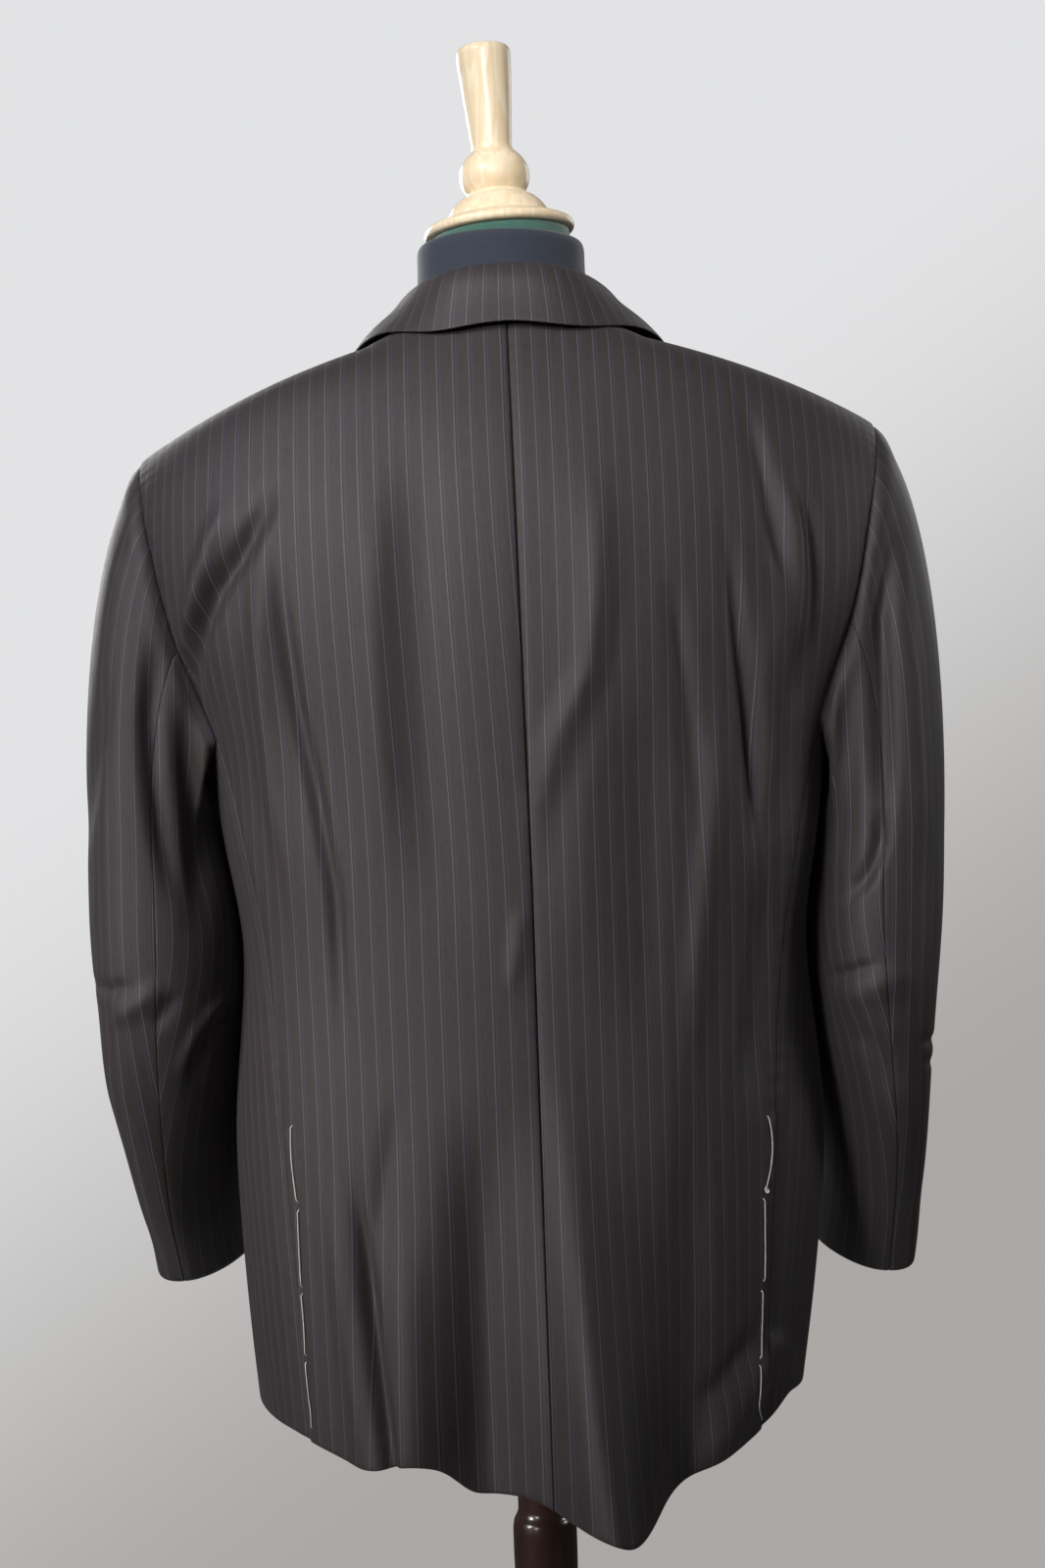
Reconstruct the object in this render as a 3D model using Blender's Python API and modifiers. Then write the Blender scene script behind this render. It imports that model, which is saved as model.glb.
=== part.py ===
"""Suit jacket on a limbless dress form, at real size.

Metres, +Z up. The front of the jacket faces -Y, its back faces +Y and the
wearer's left is +X. The origin is the centre of the stand's underside, on
the floor.

Every cloth piece is cut from one of three master surfaces (back, side and
front of a half jacket), which are lofted through the rows of the tables
below. The surface is the inner face of the cloth, and Solidify gives the
wall its thickness outwards.
"""

import math

import bmesh
import bpy
import numpy as np
from mathutils import Vector

# ---------------------------------------------------------------- sizes
cloth_wall = 0.0016          # thickness of a cloth wall
seam_gap = 0.0005            # between two pieces at a seam
centre_gap = 0.0010          # between the backs, where a fold crosses the seam
layer_gap = 0.0010           # between a piece and what lies on it
sleeve_gap = 0.0012          # between the armhole's edge and the sleeve's
master_columns = 61          # columns of a master surface
master_rows = 161            # rows of a master surface

foot_height = 0.626          # where the body rows start, before the hem line
scye_height = 1.138          # where the side seams meet the armhole
hem_reach = 0.900            # the hem line's rise and fall dies out at this height
side_dip = 0.020             # how far the underarm edge dips between its seams
seam_drift = -0.007          # the centre back seam hangs this far off the middle
neck_drift = -0.003          # and the collar and the seam's head this far
right_tail_in = 0.013        # the right side's foot hangs this far inwards
neck_point = (0.085, 0.000, 1.4215)
neck_back = (0.000, 0.065, 1.4320)
neck_front = (0.000, -0.072, 1.3900)
shoulder_lean = 0.0175       # fall to the left of the shoulder tips
shoulder_slope = 0.35        # fall of the shoulder line
shoulder_width = 0.1805      # along X, from the neck point to the tip
tip_drop = 0.009             # how far the padded tip rounds down

front_overlap = 0.018        # each front runs this far past the centre line
fold_under = 0.0036          # how far the right front lies inside the left one
break_height = 1.030         # where the lapel starts to turn
lapel_gorge = 1.362          # level of the lapel's upper edge at the roll line
lapel_point = 1.308          # level of its outer corner
lapel_share = 0.250          # its width as a share of the front's rows
vent_top = 0.868             # top of the side vents, before the hem line
vent_share = 0.800           # the underlap reaches in to this share of the back
vent_gap = 0.0010            # between the underlap and the back
quarter_radius = 0.090       # rounded corner at the foot of a front

collar_lift = 0.0024         # from the panels up to the collar's fall

button_radius = 0.0105
button_thickness = 0.0045
button_heights = (0.985, 0.880)

neck_radius = 0.0610
neck_top = 1.4925
felt_height = 0.0030
cap_height = 1.4994          # underside of the wooden neck cap, at its middle
cap_lean = math.radians(3.3)
stand_thickness = 0.0280

# Closed sections below the armhole, one row for each level.
# level, height, half width, back depth, front depth, squareness,
# x of the side-back seam, x of the side-front seam
body_rows = (
    ("hem", 0.626, 0.2010, 0.158, 0.146, 2.15, 0.156, 0.160),
    ("thigh", 0.700, 0.2060, 0.152, 0.144, 2.20, 0.160, 0.160),
    ("hip", 0.790, 0.2105, 0.144, 0.142, 2.25, 0.165, 0.160),
    ("seat", 0.870, 0.2110, 0.138, 0.138, 2.30, 0.169, 0.160),
    ("high_hip", 0.940, 0.2045, 0.132, 0.134, 2.35, 0.172, 0.160),
    ("waist", 1.000, 0.2020, 0.129, 0.132, 2.40, 0.177, 0.163),
    ("rib", 1.060, 0.2120, 0.131, 0.136, 2.45, 0.190, 0.172),
    ("scye", 1.138, 0.2215, 0.134, 0.142, 2.50, 0.211, 0.194),
)

# Open sections of the back above the scye, centre line to armhole.
# level, height at centre, height at edge, x of edge, half width, depth,
# y of the section's flat side, squareness
back_rows = (
    ("blade", 1.215, 1.205, 0.2360, 0.2500, 0.132, 0.000, 2.50),
    ("yoke", 1.300, 1.270, 0.2520, 0.2720, 0.121, -0.004, 2.40),
    ("upper", 1.365, 1.315, 0.2610, 0.2860, 0.101, -0.010, 2.20),
    ("crest", 1.402, 1.335, 0.2640, 0.2860, 0.083, -0.008, 1.90),
)

# The same for the front, centre line to armhole.
front_rows = (
    ("chest", 1.205, 1.205, 0.2230, 0.2450, 0.143, 0.000, 2.40),
    ("collarbone", 1.285, 1.265, 0.2360, 0.2680, 0.130, 0.002, 2.30),
    ("upper", 1.348, 1.312, 0.2500, 0.2860, 0.108, 0.004, 2.10),
    ("crest", 1.380, 1.336, 0.2600, 0.2900, 0.078, 0.004, 1.90),
)

# Rings of the sleeve below its head.
# level, x of outer edge (left arm), x of outer edge (right arm), x of inner
# edge, y of centre, height, half depth, turn in degrees, drop of the hind side
sleeve_rows = (
    ("bicep", 0.3120, 0.3040, 0.2170, 0.000, 1.060, 0.0720, 0.0, 0.000),
    ("upper_elbow", 0.3110, 0.2990, 0.2070, 0.004, 1.000, 0.0700, 4.0, 0.002),
    ("elbow", 0.3050, 0.2920, 0.2088, 0.000, 0.940, 0.0680, 8.0, 0.006),
    ("forearm", 0.2920, 0.2880, 0.2150, -0.030, 0.865, 0.0640, 14.0, 0.012),
    ("wrist", 0.2860, 0.2860, 0.2150, -0.070, 0.798, 0.0620, 18.0, 0.014),
    ("cuff", 0.2850, 0.2860, 0.2120, -0.104, 0.752, 0.0610, 20.0, 0.016),
)
hind_column = 7              # armhole columns of its seams, counted from the
fore_column = 18             # shoulder tip backwards
head_rows = 6                # rows of points of a sleeve above the bicep
arm_rows = 9                 # and below it
arm_length_change = {"left": 0.000, "right": -0.010}

# The hem line seen from above: degrees from the wearer's left, height
hem_line = (
    (-180, 0.664), (-145, 0.650), (-125, 0.636), (-90, 0.632), (-55, 0.636),
    (-35, 0.650), (0, 0.667), (29, 0.661), (46, 0.647), (52, 0.646),
    (60, 0.652), (65, 0.648), (70, 0.629), (85, 0.629), (95, 0.617),
    (104, 0.605), (110, 0.611), (123, 0.624), (134, 0.638), (146, 0.650), (158, 0.667),
    (180, 0.664),
)

# Folds that change the outline of the back, as paths in the back view.
# name, x and height at the foot, x and height at the head, half width,
# height out of the cloth at the foot, at the head
back_folds = (
    ("hem_flare", -0.038, 0.600, -0.024, 0.900, 0.030, 0.066, 0.000),
    ("hem_hollow_right", -0.098, 0.600, -0.085, 0.860, 0.026, -0.018, 0.000),
    ("hem_hollow_left", 0.040, 0.600, 0.030, 0.900, 0.026, -0.014, 0.000),
    ("tail_left", 0.098, 0.600, 0.085, 0.860, 0.026, 0.010, 0.000),
    ("blade_ridge", -0.035, 1.040, -0.050, 1.250, 0.022, 0.004, 0.004),
    ("blade_hollow", 0.060, 1.060, 0.070, 1.280, 0.026, -0.003, -0.003),
)

# Sections of the collar from the centre back to its front end (left side).
# station, seam xyz, top of the fold xyz, middle of the fall xyz, outer edge xyz
collar_rows = (
    ("centre_back", (0.0000, 0.0610, 1.4340), (0.0000, 0.0650, 1.4632),
     (0.0000, 0.0760, 1.4421), (0.0000, 0.0815, 1.4210)),
    ("back_side", (0.0450, 0.0520, 1.4330), (0.0430, 0.0550, 1.4605),
     (0.0515, 0.0665, 1.4385), (0.0560, 0.0725, 1.4165)),
    ("neck_point", (0.0800, 0.0060, 1.4275), (0.0745, 0.0060, 1.4500),
     (0.0940, 0.0092, 1.4352), (0.1080, 0.0120, 1.4195)),
    ("front_slope", (0.0835, -0.0380, 1.4070), (0.0820, -0.0410, 1.4210),
     (0.1040, -0.0480, 1.4080), (0.1240, -0.0470, 1.3920)),
    ("gorge", (0.0640, -0.0860, 1.3680), (0.0655, -0.0960, 1.3690),
     (0.1030, -0.1070, 1.3425), (0.1300, -0.0890, 1.3540)),
)

# Profiles, outer side, top to bottom: radius and height above the piece's foot.
# The button's are shares of its radius and thickness.
button_profile = (
    (0.00, 1.00), (0.55, 0.80), (0.72, 1.00), (0.92, 0.95), (1.00, 0.65),
    (0.85, 0.07), (0.00, 0.00),
)
cap_profile = (
    (0.0000, 0.1385), (0.0155, 0.1385), (0.0190, 0.1370), (0.0200, 0.1335),
    (0.0194, 0.1220), (0.0168, 0.0900), (0.0147, 0.0655), (0.0152, 0.0622),
    (0.0205, 0.0575), (0.0248, 0.0505), (0.0260, 0.0435), (0.0246, 0.0365),
    (0.0212, 0.0312), (0.0216, 0.0296), (0.0290, 0.0262), (0.0345, 0.0200),
    (0.0370, 0.0150), (0.0380, 0.0128), (0.0470, 0.0100), (0.0530, 0.0075),
    (0.0550, 0.0050), (0.0545, 0.0016), (0.0520, 0.0000), (0.0000, 0.0000),
)
pole_profile = (
    (0.0000, 0.7317), (0.0190, 0.7317), (0.0190, 0.5440), (0.0200, 0.5405),
    (0.0222, 0.5370), (0.0232, 0.5310), (0.0232, 0.5100), (0.0222, 0.4700),
    (0.0215, 0.4000), (0.0220, 0.3000), (0.0240, 0.1500), (0.0262, 0.0800),
    (0.0300, 0.0550), (0.0390, 0.0380), (0.0420, 0.0300), (0.0420, 0.0003),
    (0.0000, 0.0003),
)
stand_profile = (
    (0.0000, 0.0280), (0.1500, 0.0280), (0.1620, 0.0265), (0.1740, 0.0225),
    (0.1810, 0.0170), (0.1880, 0.0150), (0.1900, 0.0120), (0.1900, 0.0030),
    (0.1870, 0.0000), (0.0000, 0.0000),
)

# Rings of the dress form. height, half width, back depth, front depth, squareness
form_rows = (
    (0.760, 0.1620, 0.0980, 0.0950, 2.3),
    (0.800, 0.1680, 0.1020, 0.0980, 2.3),
    (0.870, 0.1700, 0.1010, 0.0980, 2.3),
    (0.960, 0.1580, 0.0920, 0.0950, 2.3),
    (1.020, 0.1540, 0.0920, 0.0980, 2.3),
    (1.100, 0.1640, 0.0980, 0.1100, 2.3),
    (1.200, 0.1760, 0.1020, 0.1150, 2.3),
    (1.280, 0.1840, 0.0960, 0.1020, 2.2),
    (1.335, 0.1880, 0.0820, 0.0820, 2.1),
    (1.368, 0.1860, 0.0680, 0.0680, 2.0),
)
# Rings of its shoulders. half width, back depth, front depth
shoulder_rings = (
    (0.180, 0.0600, 0.0400), (0.160, 0.0540, 0.0320), (0.140, 0.0500, 0.0260),
    (0.120, 0.0480, 0.0200), (0.100, 0.0490, 0.0140), (0.086, 0.0520, 0.0200),
)
form_under_cloth = 0.0024    # from the cloth's inner face down to the form

# ------------------------------------------------------------ colours
pinstripe_wool = ((0.040, 0.033, 0.031), 0.55, 0.0)
navy_jersey = ((0.020, 0.028, 0.045), 0.85, 0.0)
green_felt = ((0.030, 0.110, 0.075), 0.95, 0.0)
varnished_beech = ((0.620, 0.430, 0.230), 0.35, 0.0)
dark_mahogany = ((0.020, 0.008, 0.005), 0.18, 0.0)
dark_horn = ((0.030, 0.020, 0.016), 0.30, 0.0)


# ------------------------------------------------------------- curves
def evenly(curve, count):
    """Points at equal steps of length along a polyline (n, 3)."""
    steps = np.linalg.norm(np.diff(curve, axis=0), axis=1)
    length = np.concatenate([[0.0], np.cumsum(steps)])
    wanted = np.linspace(0.0, length[-1], count)
    return np.stack([np.interp(wanted, length, curve[:, k]) for k in range(3)], axis=1)


def spline_weights(knots, wanted):
    """Matrix that takes values at the knots to a natural cubic spline's values."""
    knots = np.asarray(knots, float)
    count = len(knots)
    step = np.diff(knots)
    system = np.zeros((count, count))
    right = np.zeros((count, count))
    system[0, 0] = system[-1, -1] = 1.0
    for k in range(1, count - 1):
        system[k, k - 1] = step[k - 1]
        system[k, k] = 2.0 * (step[k - 1] + step[k])
        system[k, k + 1] = step[k]
        right[k, k - 1] = 6.0 / step[k - 1]
        right[k, k] = -6.0 / step[k - 1] - 6.0 / step[k]
        right[k, k + 1] = 6.0 / step[k]
    bend = np.linalg.solve(system, right)
    wanted = np.asarray(wanted, float)
    cell = np.clip(np.searchsorted(knots, wanted) - 1, 0, count - 2)
    width = step[cell]
    after = (wanted - knots[cell]) / width
    before = 1.0 - after
    unit = np.eye(count)
    return (before[:, None] * unit[cell] + after[:, None] * unit[cell + 1]
            + ((before ** 3 - before) * width ** 2 / 6.0)[:, None] * bend[cell]
            + ((after ** 3 - after) * width ** 2 / 6.0)[:, None] * bend[cell + 1])


def loft(rows, count):
    """Smooth surface (count, n, 3) through row curves (n, 3).

    The knots of the rows below the armhole are their heights, so that every
    master surface has the same level there. Above it they go on by length.
    Returns the grid and its highest level.
    """
    rows = np.asarray(rows)
    middle = rows[:, rows.shape[1] // 2, :]
    knots = [row[1] for row in body_rows]
    for below, above in zip(middle[len(knots) - 1:-1], middle[len(knots):]):
        knots.append(knots[-1] + float(np.linalg.norm(above - below)))
    weights = spline_weights(knots, np.linspace(knots[0], knots[-1], count))
    return np.tensordot(weights, rows, axes=1), knots[-1]


def section(half_width, depth, squareness, x_from, x_to, flat=0.0, count=240):
    """Part of a superellipse in plan, from one x to another, as (x, y)."""
    turn_from = math.copysign(math.asin(min(1.0, abs(x_from / half_width) ** (squareness / 2))), x_from)
    turn_to = math.asin(min(1.0, (x_to / half_width) ** (squareness / 2)))
    turn = np.linspace(turn_from, turn_to, count)
    x = half_width * np.sign(turn) * np.abs(np.sin(turn)) ** (2.0 / squareness)
    y = flat + (depth - flat) * np.cos(turn) ** (2.0 / squareness)
    return x, y


def ridge_height(x):
    """Height of the shoulder line above a given x."""
    past = np.maximum(x - neck_point[0], 0.0)
    return neck_point[2] - shoulder_slope * past - tip_drop * (past / shoulder_width) ** 6


def shoulder_line(count=120):
    """Shoulder seam from the neck point to the tip."""
    x = np.linspace(neck_point[0], neck_point[0] + shoulder_width, count)
    y = np.linspace(neck_point[1], -0.006, count)
    return np.stack([x, y, ridge_height(x)], axis=1)


def neck_curve(centre, count=80):
    """Quarter of the neck opening, centre line to neck point."""
    turn = np.linspace(0.0, math.pi / 2, count)
    rise = (1.0 - np.cos(turn)) ** 1.3
    x = neck_point[0] * np.sin(turn)
    y = neck_point[1] + (centre[1] - neck_point[1]) * np.cos(turn)
    z = centre[2] + (neck_point[2] - centre[2]) * rise
    return np.stack([x, y, z], axis=1)


# ------------------------------------------------------ master surfaces
def upper_row(row, side, x_from):
    """Row curve above the scye; side is +1 for the back and -1 for the front."""
    _, z_mid, z_edge, x_edge, half_width, depth, flat, squareness = row
    x, y = section(half_width, depth, squareness, x_from, x_edge, flat * side)
    z = z_mid + (z_edge - z_mid) * (np.abs(x) / x_edge) ** 2.2
    return evenly(np.stack([x, side * y, z], axis=1), master_columns)


def lower_row(row, side, x_from):
    """Row curve of the back or front at a level below the scye."""
    _, height, half_width, back, front, squareness, x_back, x_front = row
    depth, x_edge = (back, x_back) if side > 0 else (front, x_front)
    x, y = section(half_width, depth, squareness, x_from, x_edge)
    z = np.full_like(x, height)
    return evenly(np.stack([x, side * y, z], axis=1), master_columns)


def top_row(centre, x_from):
    """Neck curve and shoulder seam as one row, started at x_from."""
    neck = neck_curve(centre)
    if x_from < 0.0:
        past = neck[1:12][::-1] * np.array([-1.0, 1.0, 1.0])
        neck = np.concatenate([past[past[:, 0] > x_from], neck])
    return evenly(np.concatenate([neck, shoulder_line()[1:]]), master_columns)


def back_master():
    rows = [lower_row(row, 1, 0.0) for row in body_rows]
    rows += [upper_row(row, 1, 0.0) for row in back_rows]
    rows.append(top_row(neck_back, 0.0))
    return loft(rows, master_rows)


def front_master():
    start = -front_overlap - 0.006
    rows = [lower_row(row, -1, start) for row in body_rows]
    rows += [upper_row(row, -1, start) for row in front_rows]
    rows.append(top_row(neck_front, start))
    return loft(rows, master_rows)


def side_master():
    """Side panel: back seam to front seam, hem to underarm."""
    rows = []
    for row in body_rows:
        _, height, half_width, back, front, squareness, x_back, x_front = row
        turn_back = math.acos((x_back / half_width) ** (squareness / 2))
        turn_front = math.acos((x_front / half_width) ** (squareness / 2))
        turn = np.linspace(turn_back, -turn_front, 240)
        x = half_width * np.cos(turn) ** (2.0 / squareness)
        depth = np.where(turn > 0, back, front)
        y = np.sign(turn) * depth * np.abs(np.sin(turn)) ** (2.0 / squareness)
        z = np.full_like(x, height)
        curve = evenly(np.stack([x, y, z], axis=1), master_columns)
        if row[0] == "scye":
            share = np.linspace(0.0, 1.0, master_columns)
            curve[:, 2] -= side_dip * np.sin(math.pi * share) ** 0.8
        rows.append(curve)
    grid, top = loft(rows, master_rows)
    share = np.linspace(0.0, 1.0, master_columns)[None, :, None]
    level = np.linspace(foot_height, top, master_rows)
    back_edge = at_level(back_surface, np.ones(master_rows), level)
    front_edge = at_level(front_surface, np.ones(master_rows), level)
    grid += (back_edge - grid[:, 0])[:, None, :] * (1.0 - share)
    grid += (front_edge - grid[:, -1])[:, None, :] * share
    return grid, top


def grid_normals(grid, outward):
    """Unit normals of a grid (rows, columns, 3), turned like outward."""
    along = np.gradient(grid, axis=1)
    up = np.gradient(grid, axis=0)
    normal = np.cross(along, up)
    normal /= np.maximum(np.linalg.norm(normal, axis=2, keepdims=True), 1e-12)
    facing = np.sign(np.sum(normal * outward, axis=2, keepdims=True))
    return normal * np.where(facing == 0, 1.0, facing)


def sample(grid, s, v):
    """Bilinear value of a grid at shares s along and v up, arrays alike."""
    rows, columns = grid.shape[:2]
    column = np.clip(s, 0.0, 1.0) * (columns - 1)
    row = np.clip(v, 0.0, 1.0) * (rows - 1)
    c0 = np.minimum(column.astype(int), columns - 2)
    r0 = np.minimum(row.astype(int), rows - 2)
    fc = (column - c0)[..., None]
    fr = (row - r0)[..., None]
    low = grid[r0, c0] * (1 - fc) + grid[r0, c0 + 1] * fc
    high = grid[r0 + 1, c0] * (1 - fc) + grid[r0 + 1, c0 + 1] * fc
    return low * (1 - fr) + high * fr


def at_level(surface, s, level):
    """Points of a master surface (grid, top level) at shares s and levels."""
    grid, top = surface
    return sample(grid, s, (level - foot_height) / (top - foot_height))


def mirrored(grid, mirror):
    return grid * np.array([-1.0, 1.0, 1.0]) if mirror else grid


def fold_shift(points):
    """How far each point stands out of the plain surface, from back_folds."""
    shift = np.zeros(points.shape[:-1])
    x = points[..., 0]
    z = points[..., 2]
    for _, x_foot, z_foot, x_head, z_head, reach, foot, head in back_folds:
        share = np.clip((z - z_foot) / (z_head - z_foot), 0.0, 1.0)
        axis_x = x_foot + (x_head - x_foot) * share
        height = foot + (head - foot) * share
        if head == 0.0:
            height = foot * (1.0 - share) ** 1.6
        past = np.maximum(np.abs(z - np.clip(z, z_foot, z_head)), 0.0)
        shift += height * np.exp(-((x - axis_x) / reach) ** 2 - (past / 0.06) ** 2)
    return shift


def settle(points):
    """The shoulders lean a little to the left of level, most at the tips."""
    high = np.clip((points[..., 2] - 1.10) / 0.20, 0.0, 1.0)
    points = points.copy()
    points[..., 2] -= shoulder_lean * points[..., 0] * np.abs(points[..., 0]) / 0.25 * high
    return points


def hang(points, normals):
    """Gives points of the body their folds, hem line and hanging seam."""
    facing = np.clip(normals[..., 1] * 1.4, 0.0, 1.0) ** 1.2
    points = points + normals * (fold_shift(points) * facing)[..., None]
    angle = np.degrees(np.arctan2(points[..., 1], points[..., 0]))
    degrees, heights = zip(*hem_line)
    wanted = np.interp(angle, degrees, heights)
    low = np.clip((hem_reach - points[..., 2]) / (hem_reach - foot_height), 0.0, 1.0)
    points[..., 2] += (wanted - foot_height) * low ** 1.5
    turned_in = np.clip((0.86 - points[..., 2]) / 0.22, 0.0, 1.0) ** 1.3
    outer = np.clip(-points[..., 0] / 0.20, 0.0, 1.0) ** 3
    points[..., 0] += right_tail_in * turned_in * outer
    middle = np.clip(1.0 - np.abs(points[..., 0]) / 0.15, 0.0, 1.0) * facing
    fallen = np.clip((1.43 - points[..., 2]) / 0.40, 0.0, 1.0)
    drift = neck_drift + (seam_drift - neck_drift) * fallen
    points[..., 0] += drift * middle
    return settle(points)


# ------------------------------------------------------------ meshes
def new_material(name, look):
    colour, roughness, metallic = look
    material = bpy.data.materials.new(name)
    material.use_nodes = True
    shader = material.node_tree.nodes["Principled BSDF"]
    shader.inputs["Base Color"].default_value = (*colour, 1.0)
    shader.inputs["Roughness"].default_value = roughness
    shader.inputs["Metallic"].default_value = metallic
    material.diffuse_color = (*colour, 1.0)
    return material


def add_object(name, mesh, look):
    body = bpy.data.objects.new(name, mesh)
    jacket_parts.objects.link(body)
    mesh.materials.append(new_material(name, look))
    mesh.shade_smooth()
    mesh.set_sharp_from_angle(angle=math.radians(40))
    return body


def inset_edges(grid, left, right, low, high):
    """Pulls the border rows and columns of a grid inwards by given lengths."""
    grid = grid.copy()

    def pulled(border, inner, length):
        way = inner - border
        way /= np.maximum(np.linalg.norm(way, axis=-1, keepdims=True), 1e-9)
        return border + way * length

    grid[:, 0] = pulled(grid[:, 0], grid[:, 1], left)
    grid[:, -1] = pulled(grid[:, -1], grid[:, -2], right)
    grid[0] = pulled(grid[0], grid[1], low)
    grid[-1] = pulled(grid[-1], grid[-2], high)
    return grid


def grid_mesh(name, grid, outward, closed=False):
    """Mesh of a grid of points whose faces look towards outward."""
    rows, columns = grid.shape[:2]
    faces = []
    last = columns if closed else columns - 1
    for r in range(rows - 1):
        for c in range(last):
            d = (c + 1) % columns
            faces.append((r * columns + c, r * columns + d,
                          (r + 1) * columns + d, (r + 1) * columns + c))
    mesh = bpy.data.meshes.new(name)
    mesh.from_pydata([tuple(p) for p in grid.reshape(-1, 3)], [], faces)
    mesh.validate()
    middle = mesh.polygons[len(mesh.polygons) // 2]
    if middle.normal.dot(Vector(outward(middle.center))) < 0.0:
        mesh.flip_normals()
    return mesh


def cloth_piece(name, grid, outward, closed=False, wall=cloth_wall):
    """A wall of cloth standing outwards from a grid of points."""
    body = add_object(name, grid_mesh(name, grid, outward, closed), pinstripe_wool)
    thicken = body.modifiers.new("Wall", "SOLIDIFY")
    thicken.thickness = wall
    thicken.offset = 1.0
    thicken.use_even_offset = False
    return body


def away_from_axis(centre):
    return (centre[0], centre[1], 0.0)


# --------------------------------------------------------- body panels
back_outward = (0.2, 1.0, 0.3)       # roughly the way each surface faces
front_outward = (0.2, -1.0, 0.3)
side_outward = (1.0, 0.0, 0.0)
low_levels = np.concatenate([np.linspace(foot_height, 0.700, 5)[:-1],
                             np.linspace(0.700, scye_height, 12)])
back_shares = np.linspace(0.0, 1.0, 11)
side_shares = np.linspace(0.0, 1.0, 8)
front_shares = np.linspace(0.0, 1.0, 9)
high_rows = 10               # rows of a panel from the scye to the shoulder


def levels_of(surface):
    """Levels of a panel's rows, the same as its neighbours' below the scye."""
    high = np.linspace(scye_height, surface[1], high_rows)
    return np.concatenate([low_levels, high[1:]])


def panel_points(surface, s, level, mirror, outward):
    """Points and normals of a panel, on its own side of the body."""
    grid, top = surface
    normals = grid_normals(grid, np.array(outward))
    points = mirrored(at_level(surface, s, level), mirror)
    facing = mirrored(at_level((normals, top), s, level), mirror)
    return points, facing


def back_panel(name, mirror):
    s, level = np.meshgrid(back_shares, levels_of(back_surface))
    points, facing = panel_points(back_surface, s, level, mirror, back_outward)
    points = inset_edges(hang(points, facing), centre_gap / 2, seam_gap / 2, 0.0, seam_gap / 2)
    return cloth_piece(name, points, away_from_axis)


def side_panel(name, mirror):
    s, level = np.meshgrid(side_shares, low_levels)
    points, facing = panel_points(side_surface, s, level, mirror, side_outward)
    points = inset_edges(hang(points, facing), seam_gap / 2, seam_gap / 2, 0.0, 0.0)
    return cloth_piece(name, points, away_from_axis)


def vent_under(name, mirror):
    """Underlap of a side vent: the side's edge carried on behind the back."""
    shares = np.linspace(vent_share, 1.0, 4)
    s, level = np.meshgrid(shares, np.linspace(foot_height + 0.004, vent_top, 9))
    points, facing = panel_points(back_surface, s, level, mirror, back_outward)
    points = hang(points, facing) - facing * (cloth_wall + vent_gap)
    points = inset_edges(points, 0.0, 0.0008, 0.0, 0.0)
    return cloth_piece(name, points, away_from_axis)


def inner_edge(level):
    """Share along the front's rows where the piece's inner edge runs.

    It is straight down the overlap, rounded at the foot and, above the
    break, runs along the roll line to the neck point.
    """
    grid, top = front_surface
    share = np.linspace(0.0, 1.0, master_columns)
    s_neck = np.interp(neck_point[0], grid[-1, :, 0], share)
    s_straight = np.interp(-front_overlap, grid[0, :, 0], share)
    rise = np.clip((level - break_height) / (top - break_height), 0.0, 1.0)
    below = np.clip((foot_height + quarter_radius - level) / quarter_radius, 0.0, 1.0)
    corner = 1.0 - np.sqrt(np.maximum(1.0 - below ** 2, 0.0))
    return s_straight + (s_neck - s_straight) * rise ** 0.95 + 0.40 * corner


def tucked(points, facing, under):
    """Moves the overlap of the under front inside the other front."""
    if not under:
        return points
    cover = np.clip((0.045 - np.abs(points[..., 0])) / 0.025, 0.0, 1.0)
    cover = np.where(points[..., 0] > 0.0, 1.0, cover)
    cover = cover * cover * (3.0 - 2.0 * cover)
    return points - facing * (fold_under * cover)[..., None]


def front_panel(name, mirror, under):
    level = levels_of(front_surface)
    inner = inner_edge(level)
    s = inner[:, None] + (1.0 - inner[:, None]) * front_shares[None, :]
    level = np.repeat(level[:, None], len(front_shares), axis=1)
    points, facing = panel_points(front_surface, s, level, mirror, front_outward)
    points = tucked(hang(points, facing), facing, under)
    points = inset_edges(points, 0.0, seam_gap / 2, 0.0, seam_gap / 2)
    return cloth_piece(name, points, away_from_axis)


def lapel(name, mirror, under):
    """The turned front edge, lying on the front from the break to the gorge."""
    grid, top = front_surface
    rise = np.linspace(0.0, 1.0, 13)
    across = np.linspace(0.0, 1.0, 5)
    start = break_height + (0.090 if under else 0.012)
    inner_level = start + (lapel_gorge - start) * rise
    outer_level = start + (lapel_point - start) * rise
    width = lapel_share * np.sin(rise * math.pi / 2) ** 0.85 + 0.012
    s = inner_edge(inner_level)[:, None] + 0.008 + width[:, None] * across[None, :]
    level = inner_level[:, None] + (outer_level - inner_level)[:, None] * across[None, :]
    points, facing = panel_points(front_surface, s, level, mirror, front_outward)
    belly = 0.004 * np.sin(math.pi * np.minimum(across * 1.6, 1.0))[None, :]
    lift = cloth_wall + layer_gap + belly * np.clip(rise * 3.0, 0.0, 1.0)[:, None]
    points = tucked(hang(points, facing), facing, under) + facing * lift[..., None]
    return cloth_piece(name, points, away_from_axis)


# -------------------------------------------------------------- sleeves
def armhole_ring():
    """Closed armhole of the left side: shoulder tip, back, underarm, front."""
    back_level = levels_of(back_surface)[len(low_levels) - 1:][::-1]
    front_level = levels_of(front_surface)[len(low_levels) - 1:]
    down = at_level(back_surface, np.ones(len(back_level)), back_level)
    under = at_level(side_surface, side_shares, np.full(len(side_shares), scye_height))
    up = at_level(front_surface, np.ones(len(front_level)), front_level)
    return np.concatenate([down, under[1:-1], up[:-1]])


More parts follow.
